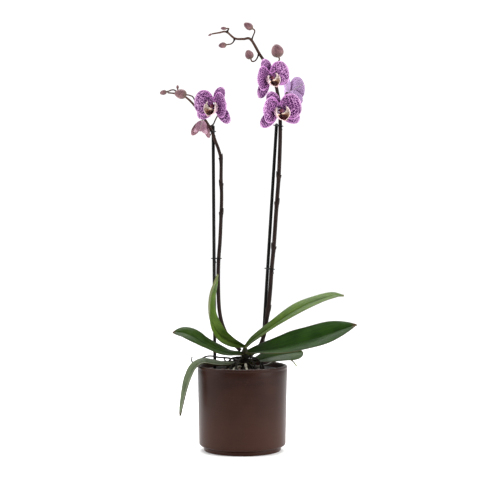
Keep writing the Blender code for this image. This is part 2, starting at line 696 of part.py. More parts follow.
def main():
    clear_scene()
    glaze = make_material("pot_glaze", (0.055, 0.032, 0.026, 1), 0.38)
    liner = make_material("nursery_plastic", (0.03, 0.03, 0.03, 1), 0.45)
    chips = make_material("bark", (0.09, 0.045, 0.022, 1), 0.9)
    leaf = make_material("leaf", (0.10, 0.22, 0.05, 1), 0.4)
    root = make_material("root", (0.32, 0.34, 0.26, 1), 0.7)
    stem = make_material("spike", (0.045, 0.03, 0.025, 1), 0.5)
    stick = make_material("stake", (0.006, 0.007, 0.006, 1), 0.5)
    wire = make_material("tie", (0.01, 0.01, 0.01, 1), 0.45)
    bud = make_material("bud", (0.16, 0.075, 0.085, 1), 0.6)
    tepal = make_material("tepal", (0.36, 0.13, 0.36, 1), 0.5)
    lip = make_material("lip", (0.16, 0.01, 0.02, 1), 0.4)
    column = make_material("column", (0.75, 0.55, 0.62, 1), 0.5)
    build_pot(glaze)
    build_nursery_pot(liner)
    build_bark(chips)
    build_crown(leaf)
    build_leaves(leaf)
    build_roots(root)
    build_stakes(stick)
    build_spikes(stem)
    build_ties(wire)
    build_buds(bud)
    build_flowers(tepal, lip, column)


main()
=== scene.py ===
import logging
import math
from dataclasses import dataclass, field, replace
from enum import Enum

import bmesh
import bpy
import numpy as np
from mathutils import Matrix, Vector, noise


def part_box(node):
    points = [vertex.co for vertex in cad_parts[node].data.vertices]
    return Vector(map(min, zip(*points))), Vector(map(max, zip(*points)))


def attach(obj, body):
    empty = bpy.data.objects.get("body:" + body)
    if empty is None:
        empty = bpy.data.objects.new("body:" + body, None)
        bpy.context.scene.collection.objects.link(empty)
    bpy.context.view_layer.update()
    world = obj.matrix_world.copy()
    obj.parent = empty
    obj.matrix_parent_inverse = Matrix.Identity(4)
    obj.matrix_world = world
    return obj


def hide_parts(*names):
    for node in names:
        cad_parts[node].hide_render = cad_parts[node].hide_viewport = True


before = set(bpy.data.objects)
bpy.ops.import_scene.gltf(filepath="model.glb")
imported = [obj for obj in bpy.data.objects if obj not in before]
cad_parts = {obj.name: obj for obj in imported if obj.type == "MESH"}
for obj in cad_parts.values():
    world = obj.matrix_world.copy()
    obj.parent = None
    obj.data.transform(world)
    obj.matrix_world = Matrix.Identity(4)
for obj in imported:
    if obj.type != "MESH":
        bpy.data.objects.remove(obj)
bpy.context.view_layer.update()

BODY = "root"
MM = 0.001
GOLDEN_TURN = math.pi * (3 - math.sqrt(5))
log = logging.getLogger("orchid")

Colour = tuple[float, float, float, float]
Point = tuple[float, float, float]


def linear(red: int, green: int, blue: int) -> Colour:
    """A colour as it is seen, 0 to 255 a channel, as the light value that a shader takes.

    Args:
        red: The red channel.
        green: The green channel.
        blue: The blue channel.

    Returns:
        The linear colour with an alpha of one.
    """
    shares = [channel / 255 for channel in (red, green, blue)]
    light = [s / 12.92 if s <= 0.04045 else ((s + 0.055) / 1.055) ** 2.4 for s in shares]
    return (*light, 1.0)


# ---------------------------------------------------------------- routes and shapes


def smooth_route(points: list[Point], per_span: int) -> np.ndarray:
    """A Catmull-Rom curve through a few points.

    Args:
        points: The points, in millimetres.
        per_span: The steps between two of them.

    Returns:
        The curve's points, in millimetres.
    """
    given = np.array(points, float)
    ends = np.vstack([2 * given[0] - given[1], given, 2 * given[-1] - given[-2]])
    t = np.linspace(0, 1, per_span, endpoint=False)[:, None]
    spans = []
    for before, start, end, after in zip(ends, ends[1:], ends[2:], ends[3:]):
        linear_part = (end - before) * t
        square_part = (2 * before - 5 * start + 4 * end - after) * t**2
        cube_part = (3 * start - before - 3 * end + after) * t**3
        spans.append(start + (linear_part + square_part + cube_part) / 2)
    return np.vstack(spans + [given[-1:]])


def sample(route: np.ndarray, shares: np.ndarray) -> np.ndarray:
    """Points on a route at shares of its steps.

    Args:
        route: The route's points.
        shares: Where to read it, from 0 to 1. A share under 0 lies on a straight run before it.

    Returns:
        One point for each share.
    """
    place = np.asarray(shares) * (len(route) - 1)
    steps = np.arange(len(route))
    read = np.stack([np.interp(place, steps, route[:, axis]) for axis in range(3)], axis=1)
    early = np.minimum(place, 0)[:, None]
    return read + early * (route[1] - route[0])


def unit(vectors: np.ndarray) -> np.ndarray:
    """The same directions with a length of one."""
    return vectors / np.maximum(np.linalg.norm(vectors, axis=-1, keepdims=True), 1e-9)


def tube_rings(route: np.ndarray, radii: np.ndarray, sides: int) -> np.ndarray:
    """Circles square to a route, turned as little as possible from one to the next.

    Args:
        route: The route's points.
        radii: The radius at each point.
        sides: The points in each circle.

    Returns:
        An array of circles, each an array of points.
    """
    directions = unit(np.gradient(route, axis=0))
    side = np.array([0.3, -0.9, 0.2])
    angles = np.linspace(0, 2 * math.pi, sides, endpoint=False)
    rings = []
    for centre, direction, radius in zip(route, directions, radii):
        side = unit(side - direction * side.dot(direction))
        up = np.cross(direction, side)
        spokes = np.outer(np.cos(angles), side) + np.outer(np.sin(angles), up)
        rings.append(centre + spokes * radius)
    return np.array(rings)


def lathe_rings(profile: list[tuple[float, float]], sides: int) -> np.ndarray:
    """Rings about the Z axis.

    Args:
        profile: (radius, height) pairs.
        sides: The points in each ring.

    Returns:
        An array of rings, each an array of points.
    """
    angles = np.linspace(0, 2 * math.pi, sides, endpoint=False)
    circle = np.stack([np.cos(angles), np.sin(angles)], axis=1)
    return np.array([np.column_stack([circle * r, np.full(sides, h)]) for r, h in profile])


def arc(
    centre: tuple[float, float], radius: float, start: float, end: float, steps: int
) -> list[tuple[float, float]]:
    """Points on an arc.

    Args:
        centre: The arc's middle, as a (radius, height) pair.
        radius: The arc's own radius.
        start: The first angle, in degrees.
        end: The last angle, in degrees.
        steps: The number of steps.

    Returns:
        A list of (radius, height) pairs.
    """
    angles = np.radians(np.linspace(start, end, steps + 1))
    return [(centre[0] + radius * math.cos(a), centre[1] + radius * math.sin(a)) for a in angles]


class Shape:
    """The points, faces and painted values of one mesh while it is being made.

    The painted values travel with the points: along is the share of the piece's length, across
    runs from -1 to 1 over its width, under is 1 on its back, and chance is one number for each
    growth, so that no two look alike.
    """

    def __init__(self) -> None:
        """Starts with nothing."""
        self.points: list[np.ndarray] = []
        self.faces: list[list[int]] = []
        self.paint: dict[str, list[np.ndarray]] = {
            "along": [], "across": [], "under": [], "chance": [],
        }
        self.count = 0

    def add_rings(
        self,
        rings: np.ndarray,
        along: np.ndarray | None = None,
        across: np.ndarray | None = None,
        under: np.ndarray | None = None,
        chance: float = 0.0,
        caps: bool = True,
        loop: bool = False,
    ) -> None:
        """Joins rings of points with faces.

        Args:
            rings: Rings of points, each with the same number of points.
            along: The share of the length at each ring.
            across: The place over the width at each point of a ring.
            under: How far each point of a ring is on the back.
            chance: The number that sets this growth apart.
            caps: Whether the first and last ring are closed with a face.
            loop: Whether the last ring joins the first.
        """
        count, sides = rings.shape[:2]
        first = self.count
        shares = np.linspace(0, 1, count) if along is None else along
        widths = np.zeros(sides) if across is None else across
        backs = np.zeros(sides) if under is None else under
        self.points.append(rings.reshape(-1, 3))
        self.paint["along"].append(np.repeat(shares, sides))
        self.paint["across"].append(np.tile(widths, count))
        self.paint["under"].append(np.tile(backs, count))
        self.paint["chance"].append(np.full(count * sides, chance))
        for row in range(count if loop else count - 1):
            low, high = first + row * sides, first + (row + 1) % count * sides
            for column in range(sides):
                after = (column + 1) % sides
                self.faces.append([low + column, low + after, high + after, high + column])
        if caps and not loop:
            self.faces.append([first + column for column in reversed(range(sides))])
            self.faces.append([first + (count - 1) * sides + column for column in range(sides)])
        self.count += count * sides

    def add_sheet(
        self,
        middle: np.ndarray,
        front: np.ndarray,
        back: np.ndarray,
        along: np.ndarray,
        lanes: np.ndarray,
        chance: float,
    ) -> None:
        """A sheet with two sides that meet in thin edges.

        Args:
            middle: The sheet's middle surface, stations by strips.
            front: How far its face stands out at each strip.
            back: How far its back stands out at each strip.
            along: The share of the length at each station.
            lanes: The strips' places over the width, from one edge to the other.
            chance: The number that sets this growth apart.
        """
        lengthwise = np.gradient(middle, axis=0)
        crosswise = np.gradient(middle, axis=1)
        normals = unit(np.cross(crosswise, lengthwise))
        face = middle + normals * front[None, :, None]
        behind = (middle - normals * back[None, :, None])[:, -2:0:-1]
        across = np.concatenate([lanes, lanes[-2:0:-1]])
        under = np.concatenate([np.zeros(len(lanes)), np.ones(len(lanes) - 2)])
        under[0] = under[len(lanes) - 1] = 0.5
        self.add_rings(np.concatenate([face, behind], axis=1), along, across, under, chance)

    def build(self, name: str, material: bpy.types.Material, sharp: float = 50.0) -> bpy.types.Object:
        """Makes the object.

        Args:
            name: The object's name.
            material: Its finish.
            sharp: The angle, in degrees, from which an edge shows.

        Returns:
            The object, in the scene.
        """
        mesh = bpy.data.meshes.new(name)
        mesh.from_pydata(np.vstack(self.points).tolist(), [], self.faces)
        for key, values in self.paint.items():
            painted = mesh.attributes.new(key, "FLOAT", "POINT")
            painted.data.foreach_set("value", np.concatenate(values).astype(np.float32))
        tidy = bmesh.new()
        tidy.from_mesh(mesh)
        bmesh.ops.recalc_face_normals(tidy, faces=tidy.faces)
        tidy.to_mesh(mesh)
        tidy.free()
        mesh.shade_smooth()
        mesh.set_sharp_from_angle(angle=math.radians(sharp))
        mesh.materials.append(material)
        obj = bpy.data.objects.new(name, mesh)
        bpy.context.scene.collection.objects.link(obj)
        return obj


def hand_over(obj: bpy.types.Object, node: str) -> None:
    """Puts a piece in the place of its CAD node and reports how far it stands out of it.

    Args:
        obj: The finished piece.
        node: The CAD node that it stands for.
    """
    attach(obj, BODY)
    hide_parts(node)
    low, high = (np.array(corner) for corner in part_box(node))
    places = np.array([vertex.co[:] for vertex in obj.data.vertices])
    proud = max((low - places.min(axis=0)).max(), (places.max(axis=0) - high).max()) / MM
    log.info("%s: %d faces, %.1f mm past its solid", obj.name, len(obj.data.polygons), proud)


# ---------------------------------------------------------------- finishes


class NodeSheet:
    """The node tree of one material, with short ways to add its usual nodes."""

    def __init__(self, name: str) -> None:
        """Starts a material with its Principled shader.

        Args:
            name: The material's name.
        """
        self.material = bpy.data.materials.new(name)
        self.material.use_nodes = True
        self.tree = self.material.node_tree
        self.shader = self.tree.nodes["Principled BSDF"]

    def feed(self, socket: bpy.types.NodeSocket, value: object) -> None:
        """Links a socket, or sets its value.

        Args:
            socket: The input socket.
            value: A value, or the socket to link it to.
        """
        if isinstance(value, bpy.types.NodeSocket):
            self.tree.links.new(value, socket)
        else:
            socket.default_value = value

    def set(self, **values: object) -> None:
        """Sets the shader's own sockets.

        Args:
            values: A value or a socket for each, named in lower case with underscores for spaces.
        """
        sockets = {socket.name.lower().replace(" ", "_"): socket for socket in self.shader.inputs}
        for key, value in values.items():
            self.feed(sockets[key], value)

    def add(self, kind: str, inputs: dict[str, object], **settings: object) -> bpy.types.Node:
        """Adds a node.

        Args:
            kind: The node's type.
            inputs: Its inputs by name, each a value or a socket.
            settings: Its other settings.

        Returns:
            The node.
        """
        made = self.tree.nodes.new(kind)
        for key, value in settings.items():
            setattr(made, key, value)
        for key, value in inputs.items():
            self.feed(made.inputs[key], value)
        return made

    def paint(self, name: str) -> bpy.types.NodeSocket:
        """A painted value of the mesh."""
        return self.add("ShaderNodeAttribute", {}, attribute_name=name).outputs["Fac"]

    def place(self) -> bpy.types.NodeSocket:
        """The place on the object."""
        return self.add("ShaderNodeTexCoord", {}).outputs["Object"]

    def height(self) -> bpy.types.NodeSocket:
        """The height on the object, in metres."""
        return self.add("ShaderNodeSeparateXYZ", {"Vector": self.place()}).outputs["Z"]

    def calc(self, operation: str, *values: object, clamp: bool = False) -> bpy.types.NodeSocket:
        """One step of arithmetic.

        Args:
            operation: What to do.
            values: Its one, two or three inputs.
            clamp: Whether the result is kept from 0 to 1.

        Returns:
            The result.
        """
        node = self.add("ShaderNodeMath", {}, operation=operation, use_clamp=clamp)
        for socket, value in zip(node.inputs, values):
            self.feed(socket, value)
        return node.outputs[0]

    def step(self, value: object, low: object, high: object) -> bpy.types.NodeSocket:
        """A smooth step.

        Args:
            value: The value that goes in.
            low: Where the step starts.
            high: Where it ends.

        Returns:
            0 below low, 1 above high, and smooth between them.
        """
        node = self.add("ShaderNodeMapRange", {"Value": value}, interpolation_type="SMOOTHSTEP")
        self.feed(node.inputs["From Min"], low)
        self.feed(node.inputs["From Max"], high)
        return node.outputs["Result"]

    def fade(self, value: object, start: object, end: object) -> bpy.types.NodeSocket:
        """1 below start, 0 above end, and smooth between them."""
        return self.calc("SUBTRACT", 1.0, self.step(value, start, end), clamp=True)

    def mix(self, share: object, first: object, second: object, most: float = 1.0) -> bpy.types.NodeSocket:
        """Mixes two colours.

        Args:
            share: How much of the second.
            first: The first colour.
            second: The second colour.
            most: How much of the second a share of 1 stands for.

        Returns:
            The mixed colour.
        """
        part = share if most == 1.0 else self.calc("MULTIPLY", share, most)
        node = self.add("ShaderNodeMix", {}, data_type="RGBA")
        self.feed(node.inputs["Factor"], part)
        self.feed(node.inputs[6], first)
        self.feed(node.inputs[7], second)
        return node.outputs[2]

    def noise(self, scale: float, detail: float = 3.0, where: object = None) -> bpy.types.NodeSocket:
        """A cloudy value from 0 to 1.

        Args:
            scale: How fine it is.
            detail: How many finer layers it has.
            where: The place that it is read at, or the place on the object.

        Returns:
            The value.
        """
        spot = self.place() if where is None else where
        made = self.add("ShaderNodeTexNoise", {"Vector": spot, "Scale": scale, "Detail": detail})
        return made.outputs["Fac"]

    def stretched(self, x: float, y: float, z: float) -> bpy.types.NodeSocket:
        """The place on the object, stretched along each axis.

        Args:
            x: The scale along X.
            y: The scale along Y.
            z: The scale along Z.

        Returns:
            The stretched place.
        """
        made = self.add("ShaderNodeMapping", {"Vector": self.place(), "Scale": (x, y, z)})
        return made.outputs["Vector"]

    def grain(self, stretch: Point, detail: float) -> bpy.types.NodeSocket:
        """A cloudy value drawn out over the object by its own axes."""
        return self.noise(1.0, detail, self.stretched(*stretch))

    def streaks(self, stretch: Point, detail: float) -> bpy.types.NodeSocket:
        """A cloudy value drawn out along a growth, and not the same on any two.

        Args:
            stretch: How fine it is along the growth, across it and from one growth to the next.
            detail: How many finer layers it has.

        Returns:
            The value.
        """
        painted = {"X": self.paint("along"), "Y": self.paint("across"), "Z": self.paint("chance")}
        spot = self.add("ShaderNodeCombineXYZ", painted)
        drawn = self.add("ShaderNodeMapping", {"Vector": spot.outputs[0], "Scale": stretch})
        return self.noise(1.0, detail, drawn.outputs["Vector"])

    def bump(self, height: object, depth: float, before: object = None) -> bpy.types.NodeSocket:
        """Relief from a value.

        Args:
            height: The value, from 0 to 1.
            depth: How high 1 stands, in metres.
            before: Relief to add this to.

        Returns:
            The normal.
        """
        node = self.add("ShaderNodeBump", {"Height": height, "Distance": depth})
        if before is not None:
            self.feed(node.inputs["Normal"], before)
        return node.outputs["Normal"]


@dataclass(frozen=True)
class GlazeFinish:
    """Satin dark brown glaze over stoneware, redder where it ran thin, and paler low down with a painted
    reflection of the pale floor.
    """

    deep: Colour = linear(31, 15, 11)
    thin: Colour = linear(41, 22, 16)
    # A paler brown: a painted reflection of the pale floor on the lower wall.
    low: Colour = linear(58, 35, 28)
    speck: Colour = linear(84, 58, 46)
    floor_reflection_height: float = 0.125
    roughness: float = 0.36
    shine: float = 0.08
    bloom: float = 0.06

    def material(self) -> bpy.types.Material:
        """The glaze as a material.

        Returns:
            The material.
        """
        sheet = NodeSheet("brown_glaze")
        rings = sheet.grain((9, 9, 120), 3.0)
        cloud = sheet.noise(22.0, 6.0)
        speck = sheet.step(sheet.noise(700.0, 1.0), 0.70, 0.78)
        tone = sheet.calc("MULTIPLY_ADD", rings, 0.3, sheet.calc("MULTIPLY", cloud, 0.7))
        body = sheet.mix(sheet.step(tone, 0.36, 0.66), self.deep, self.thin)
        # Paler towards the foot: a painted reflection of the pale floor.
        floor_reflected = sheet.mix(sheet.fade(sheet.height(), 0.0, self.floor_reflection_height), body, self.low, 0.75)
        coloured = sheet.mix(speck, floor_reflected, self.speck, 0.25)
        gloss = sheet.calc("MULTIPLY_ADD", cloud, 0.10, self.roughness - 0.05)
        relief = sheet.bump(cloud, 0.00004, sheet.bump(sheet.noise(300.0, 2.0), 0.000012))
        sheet.set(base_color=coloured, roughness=gloss, normal=relief)
        sheet.set(specular_ior_level=self.shine, sheen_weight=self.bloom, sheen_roughness=0.35)
        return sheet.material


@dataclass(frozen=True)
class PlasticFinish:
    """Thin moulded plastic."""

    colour: Colour = linear(17, 15, 14)
    scuffed: Colour = linear(36, 31, 28)
    roughness: float = 0.42

    def material(self) -> bpy.types.Material:
        """The plastic as a material.

        Returns:
            The material.
        """
        sheet = NodeSheet("nursery_plastic")
        scuffs = sheet.noise(160.0, 4.0)
        tint = sheet.mix(sheet.step(scuffs, 0.5, 0.8), self.colour, self.scuffed)
        gloss = sheet.calc("MULTIPLY_ADD", scuffs, 0.3, self.roughness - 0.15)
        sheet.set(base_color=tint, roughness=gloss, normal=sheet.bump(scuffs, 0.00008))
        sheet.set(specular_ior_level=0.2)
        return sheet.material


@dataclass(frozen=True)
class BarkFinish:
    """Chips of pine bark: red-brown breaks, grey-brown skin, fine grain."""

    dark: Colour = linear(40, 24, 16)
    light: Colour = linear(84, 53, 35)
    skin: Colour = linear(26, 18, 14)
    streak: Colour = linear(112, 82, 60)
    roughness: float = 0.86

    def material(self) -> bpy.types.Material:
        """The bark as a material.

        Returns:
            The material.
        """
        sheet = NodeSheet("bark_chips")
        grain = sheet.grain((240, 240, 900), 6.0)
        cloud = sheet.noise(150.0, 4.0)
        body = sheet.mix(sheet.paint("chance"), self.dark, self.light)
        worn = sheet.mix(sheet.step(cloud, 0.45, 0.7), body, self.skin)
        pale = sheet.mix(sheet.step(grain, 0.62, 0.78), worn, self.streak)
        relief = sheet.bump(grain, 0.0006, sheet.bump(cloud, 0.0008))
        sheet.set(base_color=pale, roughness=self.roughness, normal=relief)
        return sheet.material


@dataclass(frozen=True)
class LeafFinish:
    """A waxy leaf: fine veins along it, a dark line of painted shade in the midrib's groove, painted shade
    towards its base, a thin reddish edge and a dull back.
    """

    name: str
    dark: Colour
    light: Colour
    back: Colour
    # rib: painted shade in the midrib's groove.
    rib: Colour = linear(24, 42, 12)
    # base: painted shade near the crown, where the leaves overlap.
    base: Colour = linear(20, 30, 8)
    edge: Colour = linear(70, 42, 30)
    flush: Colour = linear(92, 72, 56)
    roughness: float = 0.30
    shine: float = 0.06

    def material(self) -> bpy.types.Material:
        """The leaf as a material.

        Returns:
            The material.
        """
        sheet = NodeSheet(self.name)
        along, wide = sheet.paint("along"), sheet.calc("ABSOLUTE", sheet.paint("across"))
        veins = sheet.streaks((5, 34, 9), 3.0)
        cloud = sheet.noise(55.0, 5.0)
        tone = sheet.calc("MULTIPLY_ADD", veins, 0.55, sheet.calc("MULTIPLY", cloud, 0.45))
        blade = sheet.mix(sheet.step(tone, 0.3, 0.7), self.dark, self.light)
        # Painted shade along the midrib's groove: a dark line down the middle.
        ribbed = sheet.mix(sheet.fade(wide, 0.02, 0.08), blade, self.rib, 0.7)
        # Painted shade over the lower part of the leaf, near the crown.
        base_shaded = sheet.mix(sheet.fade(along, 0.0, 0.45), ribbed, self.base, 0.65)
        edge = sheet.calc("MAXIMUM", sheet.step(wide, 0.95, 0.985), sheet.step(along, 0.94, 1.0))
        edged = sheet.mix(edge, base_shaded, self.edge, 0.8)
        behind = sheet.mix(tone, self.back, self.flush, 0.5)
        turned = sheet.mix(sheet.step(sheet.paint("under"), 0.45, 0.75), edged, behind)
        relief = sheet.bump(veins, 0.00035, sheet.bump(sheet.noise(700.0, 2.0), 0.00005))
        gloss = sheet.calc("MULTIPLY_ADD", cloud, 0.16, self.roughness)
        sheet.set(base_color=turned, roughness=gloss, normal=relief)
        sheet.set(specular_ior_level=self.shine)
        return sheet.material


@dataclass(frozen=True)
class StemFinish:
    """A stem: dark, with fine lines along it, and another colour to its tip."""

    name: str
    dark: Colour
    light: Colour
    tip: Colour
    roughness: float = 0.46
    shine: float = 0.1

    def material(self) -> bpy.types.Material:
        """The stem as a material.

        Returns:
            The material.
        """
        sheet = NodeSheet(self.name)
        lines = sheet.grain((1400, 1400, 60), 4.0)
        cloud = sheet.noise(70.0, 4.0)
        tone = sheet.calc("MULTIPLY_ADD", lines, 0.5, sheet.calc("MULTIPLY", cloud, 0.5))
        skin = sheet.mix(sheet.step(tone, 0.32, 0.68), self.dark, self.light)
        grown = sheet.mix(sheet.step(sheet.paint("along"), 0.55, 1.0), skin, self.tip)
        sheet.set(base_color=grown, roughness=self.roughness, normal=sheet.bump(lines, 0.00012))
        sheet.set(specular_ior_level=self.shine)
        return sheet.material


@dataclass(frozen=True)
class RootFinish:
    """An aerial root: its skin, worn darker in places, and its tip."""

    name: str
    skin: Colour
    worn: Colour
    tip: Colour
    roughness: float = 0.62

    def material(self) -> bpy.types.Material:
        """The root as a material.

        Returns:
            The material.
        """
        sheet = NodeSheet(self.name)
        cloud = sheet.noise(190.0, 5.0)
        pale = sheet.mix(sheet.step(cloud, 0.42, 0.66), self.skin, self.worn)
        grown = sheet.mix(sheet.step(sheet.paint("along"), 0.82, 0.97), pale, self.tip)
        relief = sheet.bump(sheet.noise(600.0, 4.0), 0.0003)
        sheet.set(base_color=grown, roughness=self.roughness, normal=relief)
        return sheet.material


@dataclass(frozen=True)
class StakeFinish:
    """The dark paint of a stake or a wire, with a streak of what is under it here and there."""

    name: str = "stake_paint"
    colour: Colour = linear(6, 6, 5)
    bare: Colour = linear(24, 21, 18)
    roughness: float = 0.42
    shine: float = 0.12

    def material(self) -> bpy.types.Material:
        """The paint as a material.

        Returns:
            The material.
        """
        sheet = NodeSheet(self.name)
        grain = sheet.grain((900, 900, 26), 5.0)
        worn = sheet.mix(sheet.step(grain, 0.6, 0.8), self.colour, self.bare)
        sheet.set(base_color=worn, roughness=self.roughness, normal=sheet.bump(grain, 0.00015))
        sheet.set(specular_ior_level=self.shine)
        return sheet.material


@dataclass(frozen=True)
class BudFinish:
    """A closed bud: dusty mauve over brown-green, with darker veins from its foot."""

    dark: Colour = linear(92, 62, 68)
    light: Colour = linear(122, 90, 92)
    foot: Colour = linear(82, 74, 52)
    vein: Colour = linear(62, 32, 44)
    roughness: float = 0.55
    shine: float = 0.2
    bloom: float = 0.05

    def material(self) -> bpy.types.Material:
        """The bud as a material.

        Returns:
            The material.
        """
        sheet = NodeSheet("bud_skin")
        veins = sheet.streaks((2.5, 13, 5), 2.0)
        skin = sheet.mix(sheet.step(sheet.noise(120.0, 4.0), 0.35, 0.65), self.dark, self.light)
        greener = sheet.mix(sheet.fade(sheet.paint("along"), 0.04, 0.4), skin, self.foot, 0.6)
        veined = sheet.mix(sheet.step(veins, 0.5, 0.66), greener, self.vein, 0.6)
        sheet.set(base_color=veined, roughness=self.roughness, normal=sheet.bump(veins, 0.0003))
        sheet.set(specular_ior_level=self.shine, sheen_weight=self.bloom)
        return sheet.material


@dataclass(frozen=True)
class TepalFinish:
    """A sepal or petal: rows of purple blotches between pale lines that follow the veins."""

    name: str
    rows: float
    spots: float
    pale: Colour = linear(194, 150, 190)
    blotch: Colour = linear(76, 9, 80)
    deep: Colour = linear(42, 1, 44)
    ground: Colour = linear(160, 100, 158)
    back: Colour = linear(188, 158, 198)
    line_inside: float = 0.0
    line_outside: float = 0.02
    line_soft: float = 0.14
    uneven: float = 0.62
    back_blotch: Colour = linear(122, 76, 128)
    back_rib: Colour = linear(168, 176, 152)
    roughness: float = 0.5
    shine: float = 0.12
    bloom: float = 0.02

    def cells(
        self, sheet: NodeSheet, along: bpy.types.NodeSocket, across: bpy.types.NodeSocket
    ) -> bpy.types.NodeSocket:
        """The distance to the nearest line between the blotches.

        Args:
            sheet: The material's nodes.
            along: The place along the tepal.
            across: The place across it.

        Returns:
            The distance, in blotch widths.
        """
        sway = sheet.calc("MULTIPLY_ADD", sheet.noise(110.0, 2.0), 0.9, -0.45)
        spot = sheet.add("ShaderNodeCombineXYZ", {
            "X": sheet.calc("MULTIPLY_ADD", across, self.rows, sway),
            "Y": sheet.calc("MULTIPLY_ADD", along, self.spots, sway),
            "Z": sheet.calc("MULTIPLY", sheet.paint("chance"), 37.0),
        })
        inputs = {"Vector": spot.outputs[0], "Scale": 1.0, "Randomness": self.uneven}
        made = sheet.add("ShaderNodeTexVoronoi", inputs, feature="DISTANCE_TO_EDGE")
        return made.outputs["Distance"]

    def material(self) -> bpy.types.Material:
        """The sepal or petal as a material.

        Returns:
            The material.
        """
        sheet = NodeSheet(self.name)
        along, across = sheet.paint("along"), sheet.paint("across")
        wide = sheet.calc("ABSOLUTE", across)
        distance = self.cells(sheet, along, across)
        rim = sheet.calc("MAXIMUM", sheet.step(wide, 0.4, 0.95), sheet.step(along, 0.45, 0.95))
        gap = sheet.calc("MULTIPLY_ADD", rim, self.line_outside - self.line_inside, self.line_inside)
        ragged = sheet.calc("MULTIPLY_ADD", sheet.noise(700.0, 2.0), 0.30, -0.13)
        edge = sheet.calc("ADD", distance, ragged)
        inside = sheet.step(edge, gap, sheet.calc("ADD", gap, self.line_soft))
        margin = sheet.calc("MAXIMUM", sheet.step(wide, 0.86, 0.98), sheet.step(along, 0.9, 0.985))
        kept = sheet.calc("MULTIPLY", inside, sheet.calc("SUBTRACT", 1.0, margin))
        heart = sheet.fade(along, 0.25, 1.0)
        purple = sheet.mix(heart, self.blotch, self.deep)
        ground = sheet.mix(heart, self.pale, self.ground)
        face = sheet.mix(kept, ground, purple)
        behind = sheet.mix(kept, self.back, self.back_blotch, 0.18)
        ribbed = sheet.mix(sheet.fade(wide, 0.02, 0.12), behind, self.back_rib, 0.35)
        turned = sheet.mix(sheet.step(sheet.paint("under"), 0.45, 0.8), face, ribbed)
        relief = sheet.bump(distance, 0.0004, sheet.bump(sheet.noise(380.0), 0.0001))
        sheet.set(base_color=turned, roughness=self.roughness, normal=relief)
        sheet.set(specular_ior_level=self.shine, sheen_weight=self.bloom)
        return sheet.material


@dataclass(frozen=True)
class LipFinish:
    """The lip: a maroon throat deepened with painted shade, cream side lobes striped at their foot, and a
    pink tongue.
    """

    # The throat's colours: its own maroon, deepened with painted shade from the column and the side lobes.
    shaded_throat_dark: Colour = linear(30, 2, 6)
    shaded_throat_light: Colour = linear(52, 7, 13)
    gold: Colour = linear(164, 92, 52)
    cream: Colour = linear(236, 222, 212)
    amber: Colour = linear(222, 190, 158)
    stripe: Colour = linear(112, 34, 50)
    tongue: Colour = linear(206, 160, 168)
    back: Colour = linear(206, 176, 184)
    back_spot: Colour = linear(150, 70, 96)
    rim: Colour = linear(220, 202, 194)
    roughness: float = 0.42
    shine: float = 0.25

    def material(self) -> bpy.types.Material:
        """The lip as a material.

        Returns:
            The material.
        """
        sheet = NodeSheet("lip_skin")
        along, wide = sheet.paint("along"), sheet.calc("ABSOLUTE", sheet.paint("across"))
        cloud = sheet.noise(420.0, 3.0)
        height = sheet.calc("ADD", wide, sheet.calc("MULTIPLY_ADD", cloud, 0.16, -0.08))
        lobe = sheet.step(height, 0.26, 0.38)
        # The throat: maroon mottling, darkened with painted shade.
        throat = sheet.mix(sheet.step(cloud, 0.3, 0.7), self.shaded_throat_dark, self.shaded_throat_light)
        warmed = sheet.mix(sheet.step(height, 0.18, 0.30), throat, self.gold, 0.5)
        ripple = sheet.calc("MULTIPLY_ADD", cloud, 2.0, sheet.calc("MULTIPLY", along, 46.0))
        waves = sheet.calc("SINE", ripple)
        low = sheet.fade(height, 0.38, 0.58)
        amber = sheet.mix(low, self.cream, self.amber)
        striped = sheet.calc("MULTIPLY", sheet.step(waves, 0.35, 0.8), low)
        face = sheet.mix(lobe, warmed, sheet.mix(striped, amber, self.stripe, 0.5))
        tipped = sheet.mix(sheet.step(along, 0.72, 0.9), face, self.tongue, 0.85)
        spots = sheet.calc("MULTIPLY", sheet.step(waves, 0.1, 0.8), sheet.step(cloud, 0.45, 0.6))
        skin = sheet.mix(spots, self.back, self.back_spot, 0.5)
        sided = sheet.mix(sheet.step(sheet.paint("under"), 0.45, 0.8), tipped, skin)
        rimmed = sheet.mix(sheet.step(wide, 0.84, 0.94), sided, self.rim, 0.9)
        sheet.set(base_color=rimmed, roughness=self.roughness, normal=sheet.bump(cloud, 0.0002))
        sheet.set(specular_ior_level=self.shine)
        return sheet.material


@dataclass(frozen=True)
class ColumnFinish:
    """The column: wine red deepened with painted shade, and purple at its foot."""

    # All three colours: the column's own wine red and purple, darkened with painted shade where it stands
    # over the lip's throat.
    light: Colour = linear(104, 44, 62)
    dark: Colour = linear(72, 20, 38)
    foot: Colour = linear(70, 14, 48)
    roughness: float = 0.45
    shine: float = 0.3

    def material(self) -> bpy.types.Material:
        """The column as a material.

        Returns:
            The material.
        """
        sheet = NodeSheet("column_skin")
        cloud = sheet.noise(500.0, 3.0)
        # Mottled wine red, darkened with painted shade.
        body = sheet.mix(sheet.step(cloud, 0.4, 0.7), self.light, self.dark)
        tinted = sheet.mix(sheet.fade(sheet.paint("along"), 0.05, 0.6), body, self.foot)
        sheet.set(base_color=tinted, roughness=self.roughness, normal=sheet.bump(cloud, 0.0001))
        sheet.set(specular_ior_level=self.shine)
        return sheet.material


# ---------------------------------------------------------------- pot, nursery pot and bark


